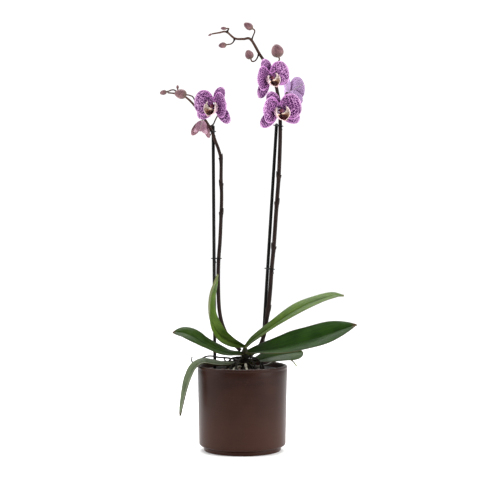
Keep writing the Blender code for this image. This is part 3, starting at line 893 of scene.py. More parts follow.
@dataclass
class CoverPot:
    """The glazed pot, in millimetres: a slightly tapered wall, a round rim and a narrower foot."""

    radius: float = 70.0
    height: float = 133.0
    wall: float = 5.0
    base_radius: float = 67.6
    foot_radius: float = 60.3
    foot_height: float = 7.0
    floor: float = 9.0
    corner: float = 4.0
    groove_drop: float = 5.0
    groove_depth: float = 0.4
    sides: int = 180

    def profile(self) -> list[tuple[float, float]]:
        """The outline of the wall.

        Returns:
            (radius, height) pairs, up the inside and down the outside.
        """
        rim = self.wall / 2
        inside = self.base_radius - self.wall
        base = self.foot_height + 5.0
        groove = self.height - self.groove_drop
        lean = (self.radius - self.base_radius) / (self.height - rim - base)
        points = [(0.5, self.floor), (inside * 0.6, self.floor)]
        points += arc((inside - self.corner, self.floor + self.corner), self.corner, -90, 0, 6)
        points += [(inside + lean * (height - base), height) for height in (40, 80, 115)]
        points += arc((self.radius - rim, self.height - rim), rim, 180, 0, 14)
        points += [(self.radius - 0.04, groove + 0.9)]
        points += [(self.radius - self.groove_depth, groove), (self.radius - 0.12, groove - 0.9)]
        points += [(self.base_radius + lean * (height - base), height) for height in (118, 90, 55, 25, 15)]
        points += arc((self.base_radius - self.corner, base), self.corner, 0, -72, 8)
        step = self.foot_height
        points += [(self.foot_radius - 0.9, step + 0.5), (self.foot_radius, step - 0.9)]
        points += [(self.foot_radius - 0.3, 3.0)]
        points += arc((self.foot_radius - 2.3, 2.0), 2.0, 0, -90, 5)
        return points + [(self.foot_radius - 8, 0.0), (0.5, 0.0)]

    def build(self) -> None:
        """Makes the pot and glazes it."""
        shape = Shape()
        shape.add_rings(lathe_rings(self.profile(), self.sides) * MM)
        hand_over(shape.build("glazed_pot", GlazeFinish().material()), "pot")


@dataclass
class NurseryPot:
    """The thin plastic pot inside, in millimetres, with a rolled lip and ribs up its wall."""

    top_radius: float = 59.0
    lip_radius: float = 61.5
    base_radius: float = 47.0
    top: float = 125.0
    base: float = 9.3
    wall: float = 1.2
    drain_radius: float = 8.0
    ribs: int = 24
    sides: int = 144

    def build(self) -> None:
        """Makes the pot and colours it."""
        lip = 0.6
        profile = [
            (self.drain_radius, self.base + self.wall),
            (self.base_radius - self.wall - 1.5, self.base + self.wall),
            (self.base_radius - self.wall, self.base + self.wall + 1.5),
            (self.top_radius - self.wall, self.top - 1.2),
            (self.top_radius - self.wall + 0.5, self.top - 0.2),
        ]
        profile += arc((self.lip_radius - lip, self.top - lip), lip, 90, 0, 4)
        profile += [
            (self.lip_radius, self.top - 2.2),
            (self.lip_radius - 0.5, self.top - 2.5),
            (self.top_radius + 0.2, self.top - 2.6),
            (self.top_radius - 0.3, self.top - 6.0),
            (self.base_radius, self.base + 2.0),
            (self.base_radius - 2.0, self.base),
            (self.drain_radius, self.base),
        ]
        rings = lathe_rings(profile, self.sides)
        turn = np.linspace(0, 2 * math.pi, self.sides, endpoint=False)
        ribbed = 1 - 0.006 * (np.cos(turn * self.ribs) > 0.7)
        rings[-4:-2, :, :2] *= ribbed[None, :, None]
        shape = Shape()
        shape.add_rings(rings * MM, loop=True)
        made = shape.build("nursery_pot_liner", PlasticFinish().material())
        hand_over(made, "nursery_pot")


@dataclass
class BarkFill:
    """Coarse bark in the nursery pot, in millimetres: a rough bed with loose chips on it.

    The chips keep clear of the crown and the stakes, which are each a place and a radius, and of
    the roots.
    """

    bed: float = 117.0
    base: float = 11.2
    radius: float = 55.5
    base_radius: float = 45.0
    chips: int = 260
    tries: int = 7
    seed: int = 11
    reach: float = 53.0
    highest: float = 124.2
    outermost: float = 56.8
    root_gap: float = 2.7
    root_middle_gap: float = 4.2
    clear: tuple[tuple[float, float, float], ...] = ((4, 0, 9.6), (-43.2, 16.6, 3.2), (29.6, 30, 3.2))
    roots: list[np.ndarray] = field(default_factory=list)

    def add_bed(self, shape: Shape) -> None:
        """Adds the uneven bed under the chips.

        Args:
            shape: The mesh that it joins.
        """
        top = [(0.5, self.bed)] + [(r, self.bed) for r in np.linspace(5, self.radius, 16)]
        wall = [(self.radius - 0.6, self.bed - 4), (self.base_radius, self.base), (0.5, self.base)]
        rings = lathe_rings(top + wall, 72)
        for ring in rings[:len(top)]:
            for point in ring:
                point[2] += 1.5 * noise.noise(Vector(point) * 0.22) - 0.6
        shape.add_rings(rings * MM, chance=0.35)

    def chip(self, rng: np.random.Generator, x: float, y: float) -> np.ndarray:
        """One chip, a rough slab.

        Args:
            rng: The source of its chances.
            x: Its middle's place along X.
            y: Its middle's place along Y.

        Returns:
            Its rings of points.
        """
        length, width, depth = rng.uniform(8, 17), rng.uniform(5, 9.5), rng.uniform(2.4, 4.4)
        sides = int(rng.integers(5, 8))
        angles = np.linspace(0, 2 * math.pi, sides, endpoint=False) + rng.uniform(-0.25, 0.25, sides)
        outline = np.stack([np.cos(angles) * length / 2, np.sin(angles) * width / 2], axis=1)
        outline *= rng.uniform(0.8, 1.12, (sides, 1))
        rings = []
        for height, size in ((-0.5, 0.78), (-0.2, 1.0), (0.25, 0.96), (0.5, 0.74)):
            ring = np.column_stack([outline * size, np.full(sides, height * depth)])
            rings.append(ring + rng.uniform(-0.35, 0.35, (sides, 3)))
        turn = Matrix.Rotation(rng.uniform(0, 2 * math.pi), 3, "Z")
        tilt = Matrix.Rotation(math.radians(rng.uniform(-17, 17)), 3, "X")
        lean = Matrix.Rotation(math.radians(rng.uniform(-13, 13)), 3, "Y")
        turned = np.array(rings) @ np.array(turn @ tilt @ lean).T
        return turned + np.array([x, y, self.bed + rng.uniform(0.6, 3.4)])

    def fits(self, rings: np.ndarray) -> bool:
        """Whether a chip keeps clear of the wall, the crown, the stakes and the roots.

        Args:
            rings: The chip's points.

        Returns:
            True where it does.
        """
        points = rings.reshape(-1, 3)
        middle = points.mean(axis=0)
        outermost = np.hypot(points[:, 0], points[:, 1]).max()
        if points[:, 2].max() > self.highest or outermost > self.outermost:
            return False
        for x, y, radius in self.clear:
            near = np.hypot(points[:, 0] - x, points[:, 1] - y).min()
            if near < radius or math.hypot(middle[0] - x, middle[1] - y) < radius + 1.5:
                return False
        for route in self.roots:
            gaps = np.linalg.norm(points[:, None] - route[None], axis=2)
            middle_gap = np.linalg.norm(route - middle, axis=1).min()
            if gaps.min() < self.root_gap or middle_gap < self.root_middle_gap:
                return False
        return True

    def build(self) -> None:
        """Makes the bed and its chips and colours them."""
        rng = np.random.default_rng(self.seed)
        shape = Shape()
        self.add_bed(shape)
        for index in range(self.chips):
            reach = self.reach * math.sqrt((index + 0.5) / self.chips)
            turn = index * GOLDEN_TURN
            for _ in range(self.tries):
                place = reach + rng.uniform(-2, 2)
                rings = self.chip(rng, place * math.cos(turn), place * math.sin(turn))
                if self.fits(rings):
                    shape.add_rings(rings * MM, chance=rng.uniform())
                    break
        hand_over(shape.build("bark_chips", BarkFinish().material(), 32), "bark")


# ---------------------------------------------------------------- crown, leaves and roots


@dataclass
class Crown:
    """The short stem in the middle, in millimetres, with the collars of old leaves round it.

    The old roots are each a facing from the crown, the height that it leaves at and its reach.
    """

    place: Point = (4.0, 0.0, 0.0)
    heights: tuple[float, ...] = (111, 118, 126, 136, 146, 154, 159.5)
    radii: tuple[float, ...] = (7, 8.8, 7.2, 6.2, 5.6, 5.0, 3.0)
    collars: tuple[float, ...] = (119, 125, 131, 138, 146, 153)
    old_roots: tuple[tuple[float, float, float], ...] = (
        (-15, 130, 21), (-42, 133, 18), (-63, 130, 23), (-103, 129, 15), (-150, 134, 25),
        (168, 130, 21), (14, 129, 18), (75, 131, 18), (104, 133, 20),
        (-8, 140, 32), (-26, 144, 30), (-50, 141, 27), (-122, 142, 28), (-142, 138, 31),
        (158, 143, 32), (136, 141, 30), (50, 143, 28),
    )
    bark: float = 120.5
    root_radius: float = 1.9
    collar_depth: float = 0.55
    sides: int = 48

    def add_old_root(self, shape: Shape, facing: float, start: float, reach: float) -> None:
        """Adds one old root, in the crown's darkened colours, that goes straight down into the bark.

        Args:
            shape: The mesh that it joins.
            facing: Its direction from the crown, in degrees.
            start: The height that it leaves the crown at.
            reach: How far out it meets the bark.
        """
        turn = math.radians(facing)
        out = np.array([math.cos(turn), math.sin(turn), 0.0])
        steps = ((3.5, start), (8.5, start + 1.6), (0.78 * reach, start - 3), (reach, self.bark))
        points = [tuple(np.array(self.place) + out * far + np.array([0, 0, high])) for far, high in steps]
        route = smooth_route(points, 8)
        radii = self.root_radius * (1 - 0.25 * np.linspace(0, 1, len(route)))
        radii = radii * (1 + 0.12 * np.sin(np.arange(len(route)) * 1.9 + facing))
        shape.add_rings(tube_rings(route, radii, 12) * MM, np.zeros(len(route)))

    def build(self) -> None:
        """Makes the crown and colours it."""
        levels = np.linspace(self.heights[0], self.heights[-1], 90)
        radii = np.interp(levels, self.heights, self.radii)
        for collar in self.collars:
            past = levels - collar
            rise = np.exp(-((past / 1.6) ** 2)) * (past < 0)
            radii += self.collar_depth * (rise + (past >= 0) * np.exp(-past * 1.4))
        radii[-1] *= 0.5
        rings = lathe_rings(list(zip(radii, levels)), self.sides)
        turn = np.linspace(0, 2 * math.pi, self.sides, endpoint=False)
        rings[:, :, :2] *= (1 + 0.05 * np.cos(2 * turn))[None, :, None]
        rings += np.array(self.place)
        shape = Shape()
        shape.add_rings(rings * MM, across=np.cos(turn * 9))
        for facing, start, reach in self.old_roots:
            self.add_old_root(shape, facing, start, reach)
        # The crown's colours: its own dark brown, darkened further with painted shade under the leaves; the
        # old roots share them.
        finish = StemFinish("crown_bark", linear(10, 8, 5), linear(26, 21, 13), linear(30, 31, 16))
        hand_over(shape.build("crown_stem", finish.material()), "crown")


class LitLeafTone(Enum):
    """How a leaf looks, painted for the light that falls on it: its darker green, its lighter green and its
    back. The brightest and the greyest are lighter with painted sheen, the deepest is darker with painted
    shade.
    """

    SHEEN_LIT = (linear(36, 60, 9), linear(74, 96, 26), linear(92, 106, 60))
    DEEP = (linear(12, 36, 2), linear(32, 60, 7), linear(66, 84, 36))
    DARK = (linear(17, 38, 3), linear(40, 62, 10), linear(70, 86, 40))
    SHEEN_GREYED = (linear(54, 64, 42), linear(88, 98, 72), linear(92, 102, 76))


@dataclass
class Leaf:
    """One leaf, in millimetres, folded up on both sides of its midrib.

    The looks are the directions that its upper side faces in, at its base, middle and tip.
    """

    name: str
    # The tone paints the light that the leaf catches: lighter with painted sheen, or darker with painted
    # shade.
    tone: LitLeafTone
    spine: list[Point]
    looks: list[Point]
    half_width: float
    widest: float
    fold: float
    chance: float
    stations: int = 84
    strips: int = 33
    base_width: float = 0.30
    clasp: float = 26.0
    fold_round: float = 0.8
    rib_groove: float = 0.5
    front_depth: float = 0.75
    back_depth: float = 0.85
    keel: float = 1.1

    def width(self, share: np.ndarray) -> np.ndarray:
        """How wide the leaf is.

        Args:
            share: The shares of its length.

        Returns:
            The share of its greatest width at each.
        """
        rising = self.base_width + (1 - self.base_width) * np.sin(
            math.pi / 2 * np.clip(share, 0, 1) / self.widest
        )
        past = np.clip((share - self.widest) / (1 - self.widest), 0, 1)
        falling = np.maximum(0.015, np.cos(math.pi / 2 * past**1.7)) ** 0.8
        return np.where(share < self.widest, rising, falling)

    def surface(self, shares: np.ndarray, lanes: np.ndarray) -> np.ndarray:
        """The leaf's middle surface.

        Args:
            shares: The stations' shares of its length.
            lanes: The strips' places over its width, from -1 to 1.

        Returns:
            Points, stations by strips.
        """
        route = smooth_route(self.spine, 24)
        looks = unit(smooth_route([tuple(Vector(look).normalized()) for look in self.looks], 24))
        centre = sample(route, shares)
        direction = unit(np.gradient(centre, axis=0))
        side = unit(np.cross(direction, sample(looks, shares)))
        up = np.cross(side, direction)
        near_base = np.exp(-np.maximum(shares, 0) / 0.06)
        angle = np.radians(self.fold * (1.15 - 0.6 * shares) + self.clasp * near_base)
        reach = (self.half_width * self.width(shares))[:, None] * lanes
        folded = np.sqrt(reach**2 + self.fold_round**2) - self.fold_round
        arch = 0.07 * self.half_width * np.sin(math.pi * np.abs(lanes))[None, :] * self.width(shares)[:, None]
        sway = np.sin(shares[:, None] * 17 + self.chance * 9 + lanes * 1.6) * np.abs(lanes) ** 3 * 0.5
        lift = folded * np.sin(angle)[:, None] + arch * 0.6 + sway
        groove = self.rib_groove * np.exp(-((lanes / 0.07) ** 2))[None, :]
        out = reach * np.cos(angle)[:, None]
        return centre[:, None] + side[:, None] * out[..., None] + up[:, None] * (lift - groove)[..., None]

    def build(self, material: bpy.types.Material) -> None:
        """Makes the leaf.

        Args:
            material: Its finish.
        """
        even = np.linspace(0, 1, self.stations)
        shares = np.concatenate([[-0.03], (even + np.sin(math.pi / 2 * even)) / 2])
        lanes = np.sin(np.linspace(-1, 1, self.strips) * math.pi / 2)
        body = np.sqrt(1 - np.abs(lanes) ** 3)
        front = self.front_depth * body
        back = self.back_depth * body + self.keel * np.exp(-((lanes / 0.08) ** 2))
        shape = Shape()
        shape.add_sheet(self.surface(shares, lanes) * MM, front * MM, back * MM, shares, lanes, self.chance)
        hand_over(shape.build(self.name + "_blade", material, 70), self.name)


@dataclass
class Leaves:
    """Six leaves in two ranks, three to each side."""

    # Each leaf's tone paints its light: painted sheen on the upper leaves and the lowest left one, painted
    # shade on the right middle one.
    leaves: tuple[Leaf, ...] = (
        Leaf(
            "leaf_right_upper", LitLeafTone.SHEEN_LIT,
            [(6.5, -0.5, 162), (21.5, 1.5, 175), (53.7, 5, 198), (86.7, 12, 218.5),
             (117.5, 20, 231.5), (143, 25, 239), (159.3, 28, 240)],
            [(-0.35, -0.36, 0.9), (-0.18, -0.4, 0.9), (0.15, -0.11, 0.98)], 16.5, 0.6, 12, 0.1),
        Leaf(
            "leaf_right_middle", LitLeafTone.DEEP,
            [(10.3, -3, 150.5), (31, -10, 155.3), (62, -18, 161.6), (90, -24, 169.4),
             (118, -30, 178.1), (146, -35, 188.4), (174.8, -40, 199)],
            [(-0.27, -0.32, 0.91), (-0.24, -0.6, 0.76), (-0.16, -0.64, 0.75)], 26, 0.49, 21, 0.3),
        Leaf(
            "leaf_right_lower", LitLeafTone.DARK,
            [(11.2, 1, 136), (32, 6, 141), (52, 14, 145), (70, 22, 147.5), (85, 29, 149),
             (96, 34, 149)],
            [(-0.2, -0.4, 1), (0, -0.75, 1), (0.3, -0.6, 1)], 19, 0.52, 12, 0.5),
        Leaf(
            "leaf_left_upper", LitLeafTone.SHEEN_LIT,
            [(1.5, -0.5, 162), (-19.3, -2, 169.2), (-37.3, -3.5, 181.8), (-48, -5, 201.2),
             (-50.8, -6, 223), (-48.4, -6, 244.3), (-42.3, -6, 261), (-37.2, -5, 274)],
            [(0, -0.9, 0.1), (0.91, -0.37, 0.17), (0.99, -0.08, -0.12)], 15.4, 0.48, 25, 0.7),
        Leaf(
            "leaf_left_middle", LitLeafTone.DARK,
            [(-2.6, -2.5, 149.5), (-21.3, -8, 151), (-39.4, -12, 157.2), (-57.7, -16, 166.7),
             (-73, -19, 176.5), (-90.4, -20, 184.2), (-107.2, -19, 185.4)],
            [(0.3, -0.39, 0.87), (0.2, -0.45, 0.87), (-0.33, -0.5, 0.8)], 17.5, 0.58, 15, 0.85),
        Leaf(
            "leaf_left_lower", LitLeafTone.SHEEN_GREYED,
            [(-3.8, -3.5, 134.5), (-26, -9, 134), (-45, -13, 136), (-61, -17, 138), (-73, -20, 131),
             (-81, -21, 115), (-87, -21, 97), (-92, -20, 77), (-97, -18, 56)],
            [(0.1, -0.3, 1), (-0.6, -0.34, 1), (-1, -0.3, 0.1)], 16, 0.6, 18, 0.2),
    )

    def build(self) -> None:
        """Makes every leaf in its own tone, each a copy of the green with its painted light."""
        finishes = {
            tone: LeafFinish("leaf_" + tone.name.lower(), *tone.value).material() for tone in LitLeafTone
        }
        for leaf in self.leaves:
            leaf.build(finishes[leaf.tone])


class RootState(Enum):
    """How a root looks: its skin, where it is worn, and its tip."""

    SILVERY = (linear(122, 120, 106), linear(74, 70, 54), linear(84, 90, 54))
    DRY = (linear(40, 33, 24), linear(20, 15, 11), linear(26, 20, 14))
    GROWING = (linear(72, 72, 54), linear(36, 34, 22), linear(104, 118, 66))


@dataclass
class Root:
    """One aerial root, in millimetres, a little uneven along its length."""

    name: str
    state: RootState
    points: list[Point]
    start: float
    end: float

    def route(self) -> np.ndarray:
        """The root's middle line."""
        return smooth_route(self.points, 12)

    def build(self, material: bpy.types.Material) -> None:
        """Makes the root.

        Args:
            material: Its finish.
        """
        route = self.route()
        shares = np.linspace(0, 1, len(route))
        radii = self.start + (self.end - self.start) * shares
        uneven = [0.13 * noise.noise(Vector(point) * 0.17) for point in route]
        radii = rounded_ends(radii * (1 + np.array(uneven)), route)
        shape = Shape()
        shape.add_rings(tube_rings(route, radii, 18) * MM, shares)
        hand_over(shape.build(self.name + "_skin", material), self.name)


def rounded_ends(radii: np.ndarray, route: np.ndarray) -> np.ndarray:
    """The radii of a tube whose far end is rounded off.

    Args:
        radii: The radius at each point of the route.
        route: The route's points.

    Returns:
        The radii, brought in over the last part of the route.
    """
    steps = np.linalg.norm(np.diff(route, axis=0), axis=1)
    left = np.concatenate([np.cumsum(steps[::-1])[::-1], [0.0]])
    inside = np.clip(1 - left / radii[-1], 0, 0.985)
    return radii * np.sqrt(1 - inside**2)


@dataclass
class Roots:
    """The aerial roots that leave the crown above the bark."""

    roots: tuple[Root, ...] = (
        Root(
            "root_left_curl", RootState.DRY,
            [(-3.6, 6, 138), (-20, 12.5, 142), (-37, 12, 143.5), (-48, 12, 145.5), (-58, 11, 144.5),
             (-68, 8, 139), (-75, 5, 135), (-79, 4, 138.5), (-78.5, 4, 146)], 1.6, 1.1),
        Root(
            "root_left_hook", RootState.DRY,
            [(-2.2, 7.5, 134), (-12, 14, 132.5), (-20, 18, 134), (-27, 20, 137.5),
             (-29.5, 20, 143)], 1.5, 0.9),
        Root(
            "root_right", RootState.GROWING,
            [(12.5, 6.5, 131), (24, 15.5, 128.5), (40, 25, 131), (56, 37, 137), (70, 46, 138.5),
             (80, 50, 133), (86.5, 50, 124.5)], 1.7, 1.1),
        Root(
            "root_front", RootState.SILVERY,
            [(5.5, -8.7, 134), (5, -16, 135), (6.5, -25, 130), (8.5, -31, 124), (9, -33, 121.8)],
            2.0, 1.9),
        Root(
            "root_front_left", RootState.SILVERY,
            [(-2.8, -7.8, 131), (-8, -14, 131), (-13.5, -22, 128), (-15.5, -30, 122.2)], 2.0, 1.9),
        Root(
            "root_left_flat", RootState.SILVERY,
            [(-7, -2.5, 126), (-16, -11, 125), (-25, -19, 126), (-34, -25, 124.5)], 2.4, 2.0),
    )

    def build(self) -> None:
        """Makes every root."""
        finishes = {
            state: RootFinish("root_" + state.name.lower(), *state.value).material()
            for state in RootState
        }
        for root in self.roots:
            root.build(finishes[root.state])


# ---------------------------------------------------------------- buds


@dataclass
class Bud:
    """One closed bud, in millimetres: three outer sepals that meet in creases and a blunt point."""

    name: str
    middle: Point
    tip: Point
    half_length: float
    radius: float
    taper: float = 0.15
    crease: float = 0.07
    steps: int = 34
    sides: int = 48

    def growth(self) -> np.ndarray:
        """The direction from its foot to its tip."""
        return unit(np.array(self.tip, float))

    def foot(self) -> np.ndarray:
        """Where its own stalk meets it."""
        return np.array(self.middle) - self.growth() * self.half_length

    def build(self, material: bpy.types.Material, chance: float) -> None:
        """Makes the bud.

        Args:
            material: Its finish.
            chance: The number that sets it apart from the others.
        """
        levels = -np.cos(np.linspace(0.03, 1, self.steps) * math.pi)
        levels[-1] = 0.999
        turn = np.linspace(0, 2 * math.pi, self.sides, endpoint=False)
        body = np.sqrt(1 - levels**2) * (1 - self.taper * (1 + levels))
        seam = np.abs(np.cos(1.5 * turn)) ** 10
        deepest = np.sin(np.linspace(0, 1, self.steps) * math.pi)[:, None]
        crease = 1 - self.crease * seam[None, :] * deepest
        spread = self.radius * body[:, None] * crease
        height = np.repeat((levels * self.half_length)[:, None], self.sides, axis=1)
        rings = np.stack([spread * np.cos(turn), spread * np.sin(turn), height], axis=2)
        aim = np.array(Vector(self.tip).to_track_quat("Z", "Y").to_matrix())
        rings = rings @ aim.T + np.array(self.middle)
        shape = Shape()
        share = (levels + 1) / 2
        shape.add_rings(rings * MM, share, np.sin(1.5 * turn), chance=chance)
        hand_over(shape.build(self.name + "_skin", material), self.name)


BUDS = {
    bud.name: bud
    for bud in (
        Bud("bud_left_large", (-96, 6, 554), (-1, 0, 0.15), 9.6, 9.0),
        Bud("bud_left_small", (-101, 15.5, 565.6), (0, -0.1, 1), 2.9, 2.5),
        Bud("bud_left_end", (-123.4, 15.6, 556.9), (-1, 0, -0.25), 5.4, 4.6),
        Bud("bud_right_large", (54.2, 14, 621.5), (-0.25, 0, 1), 10.6, 11.2),
        Bud("bud_right_top", (9.2, 20, 660.6), (-0.8, -0.1, 0.5), 8.0, 6.6),
        Bud("bud_right_middle", (10.5, 16, 615.9), (-0.4, 0, 1), 7.6, 7.7),
        Bud("bud_right_lower", (-31, 16.5, 630.4), (-1, 0, -0.15), 6.3, 5.4),
        Bud("bud_right_upper", (-29.3, 16.5, 656.6), (-1, 0, 0.05), 4.6, 3.1),
        Bud("bud_right_tip", (-50.6, 20, 647), (-1, 0, -0.6), 3.2, 1.9),
    )
}


# ---------------------------------------------------------------- flowers


@dataclass(frozen=True)
class TepalForm:
    """The shape of a sepal or petal about its flower's own axes, in millimetres and degrees.

    turn is its direction from the flower's X axis, lift its height over the middle, rise how far
    it slopes forward at its base, bend how much more by its end, cup how far its edges come
    forward, wave how far they ripple, and shoulder how far they reach back beside its claw.
    """

    turn: float
    start: float
    length: float
    half_width: float
    widest: float
    claw: float
    lift: float
    rise: float
    bend: float
    cup: float
    wave: float = 0.6
    shoulder: float = 0.0

    def width(self, share: np.ndarray) -> np.ndarray:
        """How wide it is along its length: a narrow claw and a round end.

        Args:
            share: The shares of its length.

        Returns:
            The share of its greatest width at each.
        """
        rising = self.claw + (1 - self.claw) * np.sin(math.pi / 2 * np.clip(share / self.widest, 0, 1)) ** 0.7
        past = np.clip((share - self.widest) / (1 - self.widest), 0, 0.9995)
        return np.where(share < self.widest, rising, np.sqrt(1 - past**2.2))

    def surface(self, share: np.ndarray, lanes: np.ndarray, chance: float) -> np.ndarray:
        """Its middle surface.

        Args:
            share: The stations' shares of its length.
            lanes: The strips' places over its width, from -1 to 1.
            chance: The number that sets it apart from the others.

        Returns:
            Points, stations by strips.
        """
        base, curl = math.radians(self.rise), math.radians(self.bend)
        facing = math.radians(self.turn)
        outward = np.array([math.cos(facing), math.sin(facing), 0.0])
        side = np.array([outward[1], -outward[0], 0.0])
        forward = np.array([0.0, 0.0, 1.0])
        slope = (base + curl * share / 2)[:, None]
        reach = self.start + self.length * share[:, None] * np.cos(slope)
        height = self.lift + self.length * share[:, None] * np.sin(slope)
        back = (1 - share) ** 2 * np.minimum(1, share / 0.06)
        reach = reach - self.shoulder * lanes**2 * back[:, None]
        edge = (base + curl * share)[:, None, None]
        normal = forward * np.cos(edge) - outward * np.sin(edge)
        wide = (self.half_width * self.width(share))[:, None]
        rows = np.sin(lanes * 16 + chance * 5)[None, :] * 0.10 * np.sin(math.pi * share)[:, None]
        ripple = np.sin(share[:, None] * 15 + lanes * 2.2 + chance * 11)
        ripple = self.wave * ripple * np.abs(lanes) ** 3 * share[:, None]
        rib = -0.5 * np.exp(-((lanes / 0.09) ** 2))[None, :] * (1 - share)[:, None]
        cupped = self.cup * wide * lanes**2 * share[:, None] + ripple + rows + rib
        flat = outward * reach[..., None] + side * (wide * lanes)[..., None]
        return flat + forward * height[..., None] + normal * cupped[..., None]


class Openness(Enum):
    """How far a flower's tepals are folded forward, in degrees."""

    OPEN = 0
    CLOSING = 46


OPEN_SEPALS = tuple(
    TepalForm(turn=turn, start=1.6, length=length, half_width=10.8, widest=0.5, claw=0.25,
              lift=lift, rise=Openness.OPEN.value, bend=bend, cup=0.12, wave=0.35)
    for turn, length, lift, bend in ((90, 30, -2.5, -10), (216, 38, -2.1, 8), (324, 38, -1.75, 8))
)
OPEN_PETAL = TepalForm(turn=12, start=3.2, length=31.5, half_width=20, widest=0.5, claw=0.14,
                       lift=0.4, rise=8, bend=16, cup=0.12, wave=0.7, shoulder=5)
CLOSING_PETAL = TepalForm(turn=40, start=2.7, length=26, half_width=10.5, widest=0.55, claw=0.16,
                          lift=2.4, rise=Openness.CLOSING.value + 8, bend=16, cup=0.2, wave=0.3)


@dataclass(frozen=True)
class LipForm:
    """The shape of a lip about its flower's own axes, in millimetres and degrees.

    It is a trough that drops in front of the column, with a side lobe each side of it where the
    trough's edges curl up, a callus on its floor and two tendrils at its tip.
    """

    start: float = 2.8
    length: float = 13.5
    top: float = -5.2
    drop: float = -10.2
    drop_length: float = 0.4
    trough_radius: float = 3.6
    lobe_radius: float = 5.8
    trough_curl: float = 24.0
    lobe_curl: float = 124.0
    lobe_middle: float = 0.42
    lobe_length: float = 0.36
    spread: float = 1.36
    ridge: float = 0.7
    crisp: float = 0.5
    thickness: float = 0.9
    callus: tuple[tuple[float, float], ...] = ((0.2, 0), (1.5, 0.2), (1.9, 1.2), (1.5, 2.4), (0.3, 2.9))
    callus_stretch: Point = (1.1, 0.9, 1.3)
    callus_place: Point = (0, -9.6, 6.6)
    tendril: tuple[Point, ...] = ((0.6, -14.1, 15.9), (1.7, -14.6, 16.6), (3.0, -14.4, 16.0),
                                  (3.4, -13.4, 15.0))
    tendril_radii: tuple[float, float] = (0.42, 0.16)

    def surface(self, share: np.ndarray, lanes: np.ndarray, chance: float) -> np.ndarray:
        """Its middle surface.

        Args:
            share: The stations' shares of its length.
            lanes: The strips' places over its width, from -1 to 1.
            chance: The number that sets it apart from the others.

        Returns:
            Points, stations by strips.
        """
        lobe = np.exp(-(((share - self.lobe_middle) / self.lobe_length) ** 4))
        radius = (self.trough_radius + self.lobe_radius * lobe)[:, None]
        bent = np.radians(self.trough_curl + self.lobe_curl * lobe)[:, None]
        curl = bent * lanes * (1 - 0.5 * share**3)[:, None]
        crisp = self.crisp * np.sin(share * 24 + chance * 7)[:, None] * np.abs(lanes) ** 5
        fall = (self.top + self.drop * (1 - np.exp(-share / self.drop_length)))[:, None]
        ridge = self.ridge * np.exp(-((lanes / 0.1) ** 2))[None, :] * np.sin(math.pi * share)[:, None]
        x = self.spread * radius * np.sin(curl) + 0.3 * crisp
        y = fall + radius * (1 - np.cos(curl)) + crisp
        z = np.repeat((self.start + self.length * share)[:, None], len(lanes), axis=1)
        return np.stack([x, y + ridge, z], axis=2)

    def callus_rings(self) -> np.ndarray:
        """The callus, as rings that stand out of the trough's floor."""
        rings = lathe_rings(list(self.callus), 20)[:, :, [0, 2, 1]]
        return rings * np.array(self.callus_stretch) + np.array(self.callus_place)

    def tendril_rings(self, side: int) -> np.ndarray:
        """One tendril, on the side of the sign that is given."""
        route = smooth_route([(side * x, y, z) for x, y, z in self.tendril], 8)
        return tube_rings(route, np.linspace(*self.tendril_radii, len(route)), 10)


